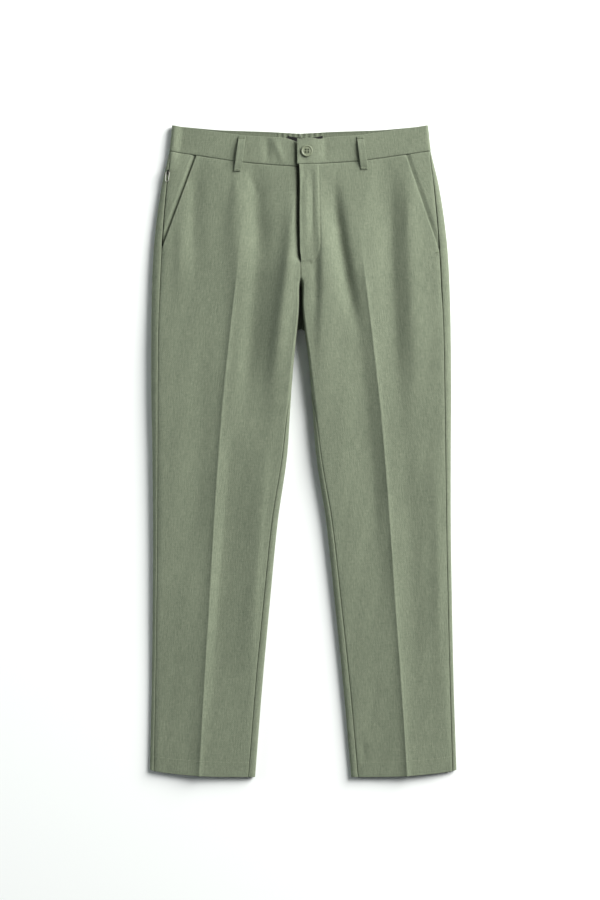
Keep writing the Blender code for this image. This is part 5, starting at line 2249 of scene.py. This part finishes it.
@dataclass(frozen=True)
class Sewing:
    """All the topstitching and the bartacks."""

    form: GarmentForm
    threads: ThreadMaker
    hem_stitches_from: float = 0.03
    bar_radius: float = 0.2
    loop_bar_half: float = 4.6
    loop_bar_width: float = 1.3
    loop_bar_shares: tuple[float, float] = (0.05, 0.965)
    seam_bars: tuple[Bartack, ...] = (
        Bartack((-221.0, 205.5), (-215.5, 206.6)),  # The pockets' ends,
        Bartack((221.5, 205.0), (215.5, 206.0)),
        Bartack((16.2, 218.0), (17.6, 225.4)),  # the fly's,
        Bartack((226.0, 291.5), (228.6, 297.5)),  # and the open side seam's.
    )

    def hem_line(self, side: Side) -> tuple[tuple[float, float], ...]:
        """The hem's stitch line, at the depth of the turned-up cloth.

        Args:
            side: The side.

        Returns:
            The line's points, as (offset, down).
        """
        form, out = self.form, []
        for share in np.linspace(self.hem_stitches_from, 1 - self.hem_stitches_from, 24):
            down = float(form.hem.column("down", share)) - form.hem_depth
            s = form.sections.at(down)
            out.append((side.value * mix(s.gap, s.half_width, share), down))
        return tuple(out)

    def bartacks(self) -> list[Bartack]:
        """Every bartack that shows: the seams' ends and the front loops' two ends.

        Returns:
            The bartacks.
        """
        bars = list(self.seam_bars)
        for loop in FRONT_LOOPS:
            for offset, down in map(loop.at, self.loop_bar_shares):
                bars.append(Bartack((offset - self.loop_bar_half, down),
                                    (offset + self.loop_bar_half, down), self.loop_bar_width))
        return bars

    def build(self, ground: Ground) -> list[Object]:
        """Builds the lines of stitches and the bartacks.

        Args:
            ground: The cloth they lie on.

        Returns:
            The pieces.
        """
        lines = (
            SewingLine("stitches_fly", StitchLines().fly),
            SewingLine("stitches_hem_right", self.hem_line(Side.RIGHT)),
            SewingLine("stitches_hem_left", self.hem_line(Side.LEFT)),
        )
        pieces = [self.threads.mesh(line.name, line.runs(ground), line.radius) for line in lines]
        bars = [bar.run(ground) for bar in self.bartacks()]
        pieces.append(self.threads.mesh("stitches_bartacks", bars, self.bar_radius))
        return pieces

    def dress(self, pieces: list[Object], dresser: Dresser) -> None:
        """Sewing thread."""
        for piece in pieces:
            dresser.dress(piece, SpunThread(), Slot.CLOTH)


# ---------------- zips


@dataclass(frozen=True)
class ZipCoil:
    """The meshed teeth of a coil zip, as small rounded bars in two rows."""

    pitch: float = 1.25
    width: float = 2.1
    radius: float = 0.3
    far: float = 0.62
    near: float = 0.3

    def runs(self, spots: list[Vector], acrosses: list[Vector]) -> list[list[Vector]]:
        """One bar for each tooth.

        Args:
            spots: Middles of the teeth, in metres.
            acrosses: Unit directions across the zip.

        Returns:
            Runs of points for the threads' mesh.
        """
        out = []
        for i, (spot, across) in enumerate(zip(spots, acrosses)):
            low, high = (-self.far, self.near) if i % 2 else (-self.near, self.far)
            shares = (low, 0.5 * (low + high), high)
            out.append([spot + across * self.width * share * MM for share in shares])
        return out


@dataclass(frozen=True)
class FlyZip:
    """The closed zip under the fly's edge."""

    form: GarmentForm
    threads: ThreadMaker
    coil: ZipCoil
    start: float = 74.0
    end: float = 178.0
    off: float = 4.6
    width: float = 7.0
    cloth: float = 0.5
    teeth_lift: float = 0.75
    step: float = 2.0
    cut_width: float = 10.5

    def height(self, offset: Array, down: float) -> Array:
        """The tape's underside, over the right front's strip."""
        floor = self.form.plateau(Side.RIGHT, -offset, down)
        return floor - self.form.fly_dip(-offset, down) + self.form.layer_gap

    def build(self) -> list[Object]:
        """Builds the tape and its teeth.

        Returns:
            The two pieces.
        """
        x = self.off + np.linspace(-0.5, 0.5, 9) * self.width
        outer, inner, cuts, spots = [], [], [], []
        for down in np.arange(self.start, self.end + 0.1, self.step):
            low = self.height(x, float(down))
            inner.append(self.form.place(Side.LEFT, x, down, low))
            outer.append(self.form.place(Side.LEFT, x, down, low + self.cloth))
            cuts.append(np.stack([x * MM, x * 0 + down * MM, 0 * x], axis=-1))
        for down in np.arange(self.start + self.step, self.end - self.step, self.coil.pitch):
            height = float(self.height(np.array([self.off]), float(down))[0]) + self.teeth_lift
            spots.append(Vector(self.form.place(Side.LEFT, self.off, down, height).tolist()))
        tape = grid_shell("tape_fly_zip", outer, inner, cuts)
        runs = self.coil.runs(spots, [Vector((1, 0, 0))] * len(spots))
        return [tape, self.threads.mesh("coil_fly_zip", runs, self.coil.radius)]

    def dress(self, pieces: list[Object], dresser: Dresser) -> None:
        """Gives the tape and the teeth their finishes.

        Args:
            pieces: The tape and its teeth.
            dresser: What finishes them.
        """
        tape, coil = pieces
        dresser.dress(tape, WovenTape(), Slot.ZIP_TAPE, ("fly_zip",))
        dresser.dress(coil, DrawnPolyester(), Slot.ZIP_TAPE)


@dataclass(frozen=True)
class SideZip:
    """The zip in the wearer's right side seam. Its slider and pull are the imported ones.

    sink is how deep the tape's face lies in the seam. From dives to dived it goes down to deep.
    """

    form: GarmentForm
    threads: ThreadMaker
    coil: ZipCoil
    start: float = 62.0
    end: float = 194.0
    width: float = 7.0
    cloth: float = 1.1
    face: float = 0.2
    sink: float = 1.75
    deep: float = 3.8
    dives: float = 128.0
    dived: float = 158.0
    slider_down: float = 76.5
    slider_half: float = 4.0
    teeth_lift: float = 0.1
    step: float = 2.0
    cut_width: float = 10.5

    def sunk(self, down: float) -> float:
        """How deep the zip lies in the seam at a level."""
        return mix(self.sink, self.deep, float(ease((down - self.dives) / (self.dived - self.dives))))

    def line(self, down: float, across: Array, sink: float) -> Array:
        """Points across the zip at one level.

        Args:
            down: The level.
            across: Offsets from the seam, round the section.
            sink: How deep the points lie in the seam.

        Returns:
            The points, in metres.
        """
        ring = self.form.ring(Side.RIGHT, down, self.form.seam_gap / 2)
        points, normals = ring.with_normals(ring.marks["outseam"] + across)
        low = points - normals * sink
        return self.form.place(Side.RIGHT, low[:, 0], np.full(len(low), down), low[:, 1])

    def build(self) -> list[Object]:
        """Builds the tape and its closed teeth.

        Returns:
            The two pieces.
        """
        across = np.linspace(-0.5, 0.5, 9) * self.width
        outer, inner, cuts, spots, turns = [], [], [], [], []
        for down in np.arange(self.start, self.end + 0.1, self.step):
            sink = self.sunk(down)
            outer.append(self.line(float(down), across, sink + self.face))
            inner.append(self.line(float(down), across, sink + self.cloth))
            cuts.append(np.stack([across * MM, across * 0 + down * MM, 0 * across], axis=-1))
        first = self.slider_down + self.slider_half
        for down in np.arange(first, self.end - self.step, self.coil.pitch):
            pair = self.line(float(down), np.array([-0.5, 0.5]), self.sunk(down) - self.teeth_lift)
            spots.append(Vector(pair.mean(axis=0).tolist()))
            turns.append(Vector((pair[1] - pair[0]).tolist()).normalized())
        tape = grid_shell("tape_side_zip", outer, inner, cuts)
        runs = self.coil.runs(spots, turns)
        return [tape, self.threads.mesh("coil_side_zip", runs, self.coil.radius)]

    def dress(self, pieces: list[Object], dresser: Dresser,
              nodes: dict[str, Object]) -> None:
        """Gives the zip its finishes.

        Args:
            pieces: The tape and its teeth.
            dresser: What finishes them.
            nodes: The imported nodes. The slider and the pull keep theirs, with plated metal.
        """
        tape, coil = pieces
        dresser.dress(tape, WovenTape(), Slot.ZIP_TAPE, ("side_zip_tape",))
        dresser.dress(coil, DrawnPolyester(), Slot.ZIP_TAPE)
        # The slider gets the zinc in dark greys, the pull the lighter zinc.
        finishes = {"side_zip_slider": BlackPlatedZinc(), "side_zip_pull": PlatedZinc()}
        for name, finish in finishes.items():
            metal = nodes[name]
            metal.data.materials.clear()
            metal.data.materials.append(finish.material(name + "_finish"))


# ---------------- the studio


@dataclass(frozen=True)
class SoftLight:
    """A square soft box: where it stands and what it shines at."""

    name: str
    place: tuple[float, float, float]
    size: float
    watts: float
    tone: str = "#FFFFFF"


@dataclass(frozen=True)
class Studio:
    """The paper floor, the soft light and the camera straight above."""

    floor_size: float = 9.0
    floor_drop: float = 0.0002
    camera_height: float = 3.415
    camera_x: float = -0.0051
    camera_y: float = 0.0016
    lens_mm: float = 85.0
    sensor_mm: float = 36.0
    world_strength: float = 0.13
    world_tone: str = "#F5FAF8"
    lights: tuple[SoftLight, ...] = (
        SoftLight("key", (3.75, 2.75, 2.6), 3.7, 798.0, "#FFFDF8"),
        SoftLight("fill", (-3.0, 0.2, 0.75), 1.4, 38.0, "#F6FBF8"),
    )

    def build(self) -> None:
        """Builds everything but the garment."""
        half = self.floor_size / 2
        data = bpy.data.meshes.new("paper_floor")
        corners = [(-half, -half, 0), (half, -half, 0), (half, half, 0), (-half, half, 0)]
        data.from_pydata(corners, [], [(0, 1, 2, 3)])
        data.materials.append(MattPaper().material("paper_floor_finish"))
        floor = add_to_scene("paper_floor", data)
        floor.location.z = -self.floor_drop
        for light in self.lights:
            lamp = bpy.data.lights.new(light.name, "AREA")
            lamp.size, lamp.energy = light.size, light.watts
            lamp.color = to_linear(light.tone)[:3]
            thing = add_to_scene(light.name, lamp)
            thing.location = light.place
            thing.rotation_euler = (-Vector(light.place)).to_track_quat("-Z", "Y").to_euler()
        world = bpy.data.worlds.new("studio")
        world.use_nodes = True
        sky = world.node_tree.nodes["Background"]
        sky.inputs["Color"].default_value = to_linear(self.world_tone)
        sky.inputs["Strength"].default_value = self.world_strength
        bpy.context.scene.world = world
        camera = bpy.data.cameras.new("camera")
        camera.lens, camera.sensor_width = self.lens_mm, self.sensor_mm
        eye = add_to_scene("camera", camera)
        eye.location = (self.camera_x, self.camera_y, self.camera_height)
        bpy.context.scene.camera = eye
        bpy.context.scene.view_settings.view_transform = "Standard"


# ---------------- the whole garment


def node_objects() -> dict[str, Object]:
    """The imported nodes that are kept, by name."""
    return {o["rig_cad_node"]: o for o in bpy.context.scene.objects if "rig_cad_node" in o}


def main() -> None:
    """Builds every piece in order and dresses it."""
    logging.basicConfig(level=logging.INFO, format="%(name)s: %(message)s")
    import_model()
    form = GarmentForm()
    maker, threads, coil, dresser = ClothMaker(form), ThreadMaker(), ZipCoil(), Dresser()
    grounds = []
    for side in Side:
        for part in (FrontPanel(side, form, maker), BackPanel(side, form, maker),
                     Waistband(side, form, maker), PocketFacing(side, form, maker)):
            piece = part.build()
            part.dress(piece, dresser)
            grounds.append(piece)
    for place in FRONT_LOOPS + BACK_LOOPS:
        loop = BeltLoop(place, form, maker)
        piece = loop.build()
        loop.dress(piece, dresser)
        if place in FRONT_LOOPS:
            grounds.append(piece)
    label = InnerLabel(form)
    label.dress(label.build(), dresser)
    button = WaistButton(form)
    button.dress(button.build(), dresser)
    dresser.dress(button.thread(threads), SpunThread(), Slot.CLOTH)
    fly_zip = FlyZip(form, threads, coil)
    fly_zip.dress(fly_zip.build(), dresser)
    side_zip = SideZip(form, threads, coil)
    side_zip.dress(side_zip.build(), dresser, node_objects())
    sewing = Sewing(form, threads)
    sewing.dress(sewing.build(Ground(form, grounds)), dresser)
    Studio().build()


if __name__ == "__main__":
    main()
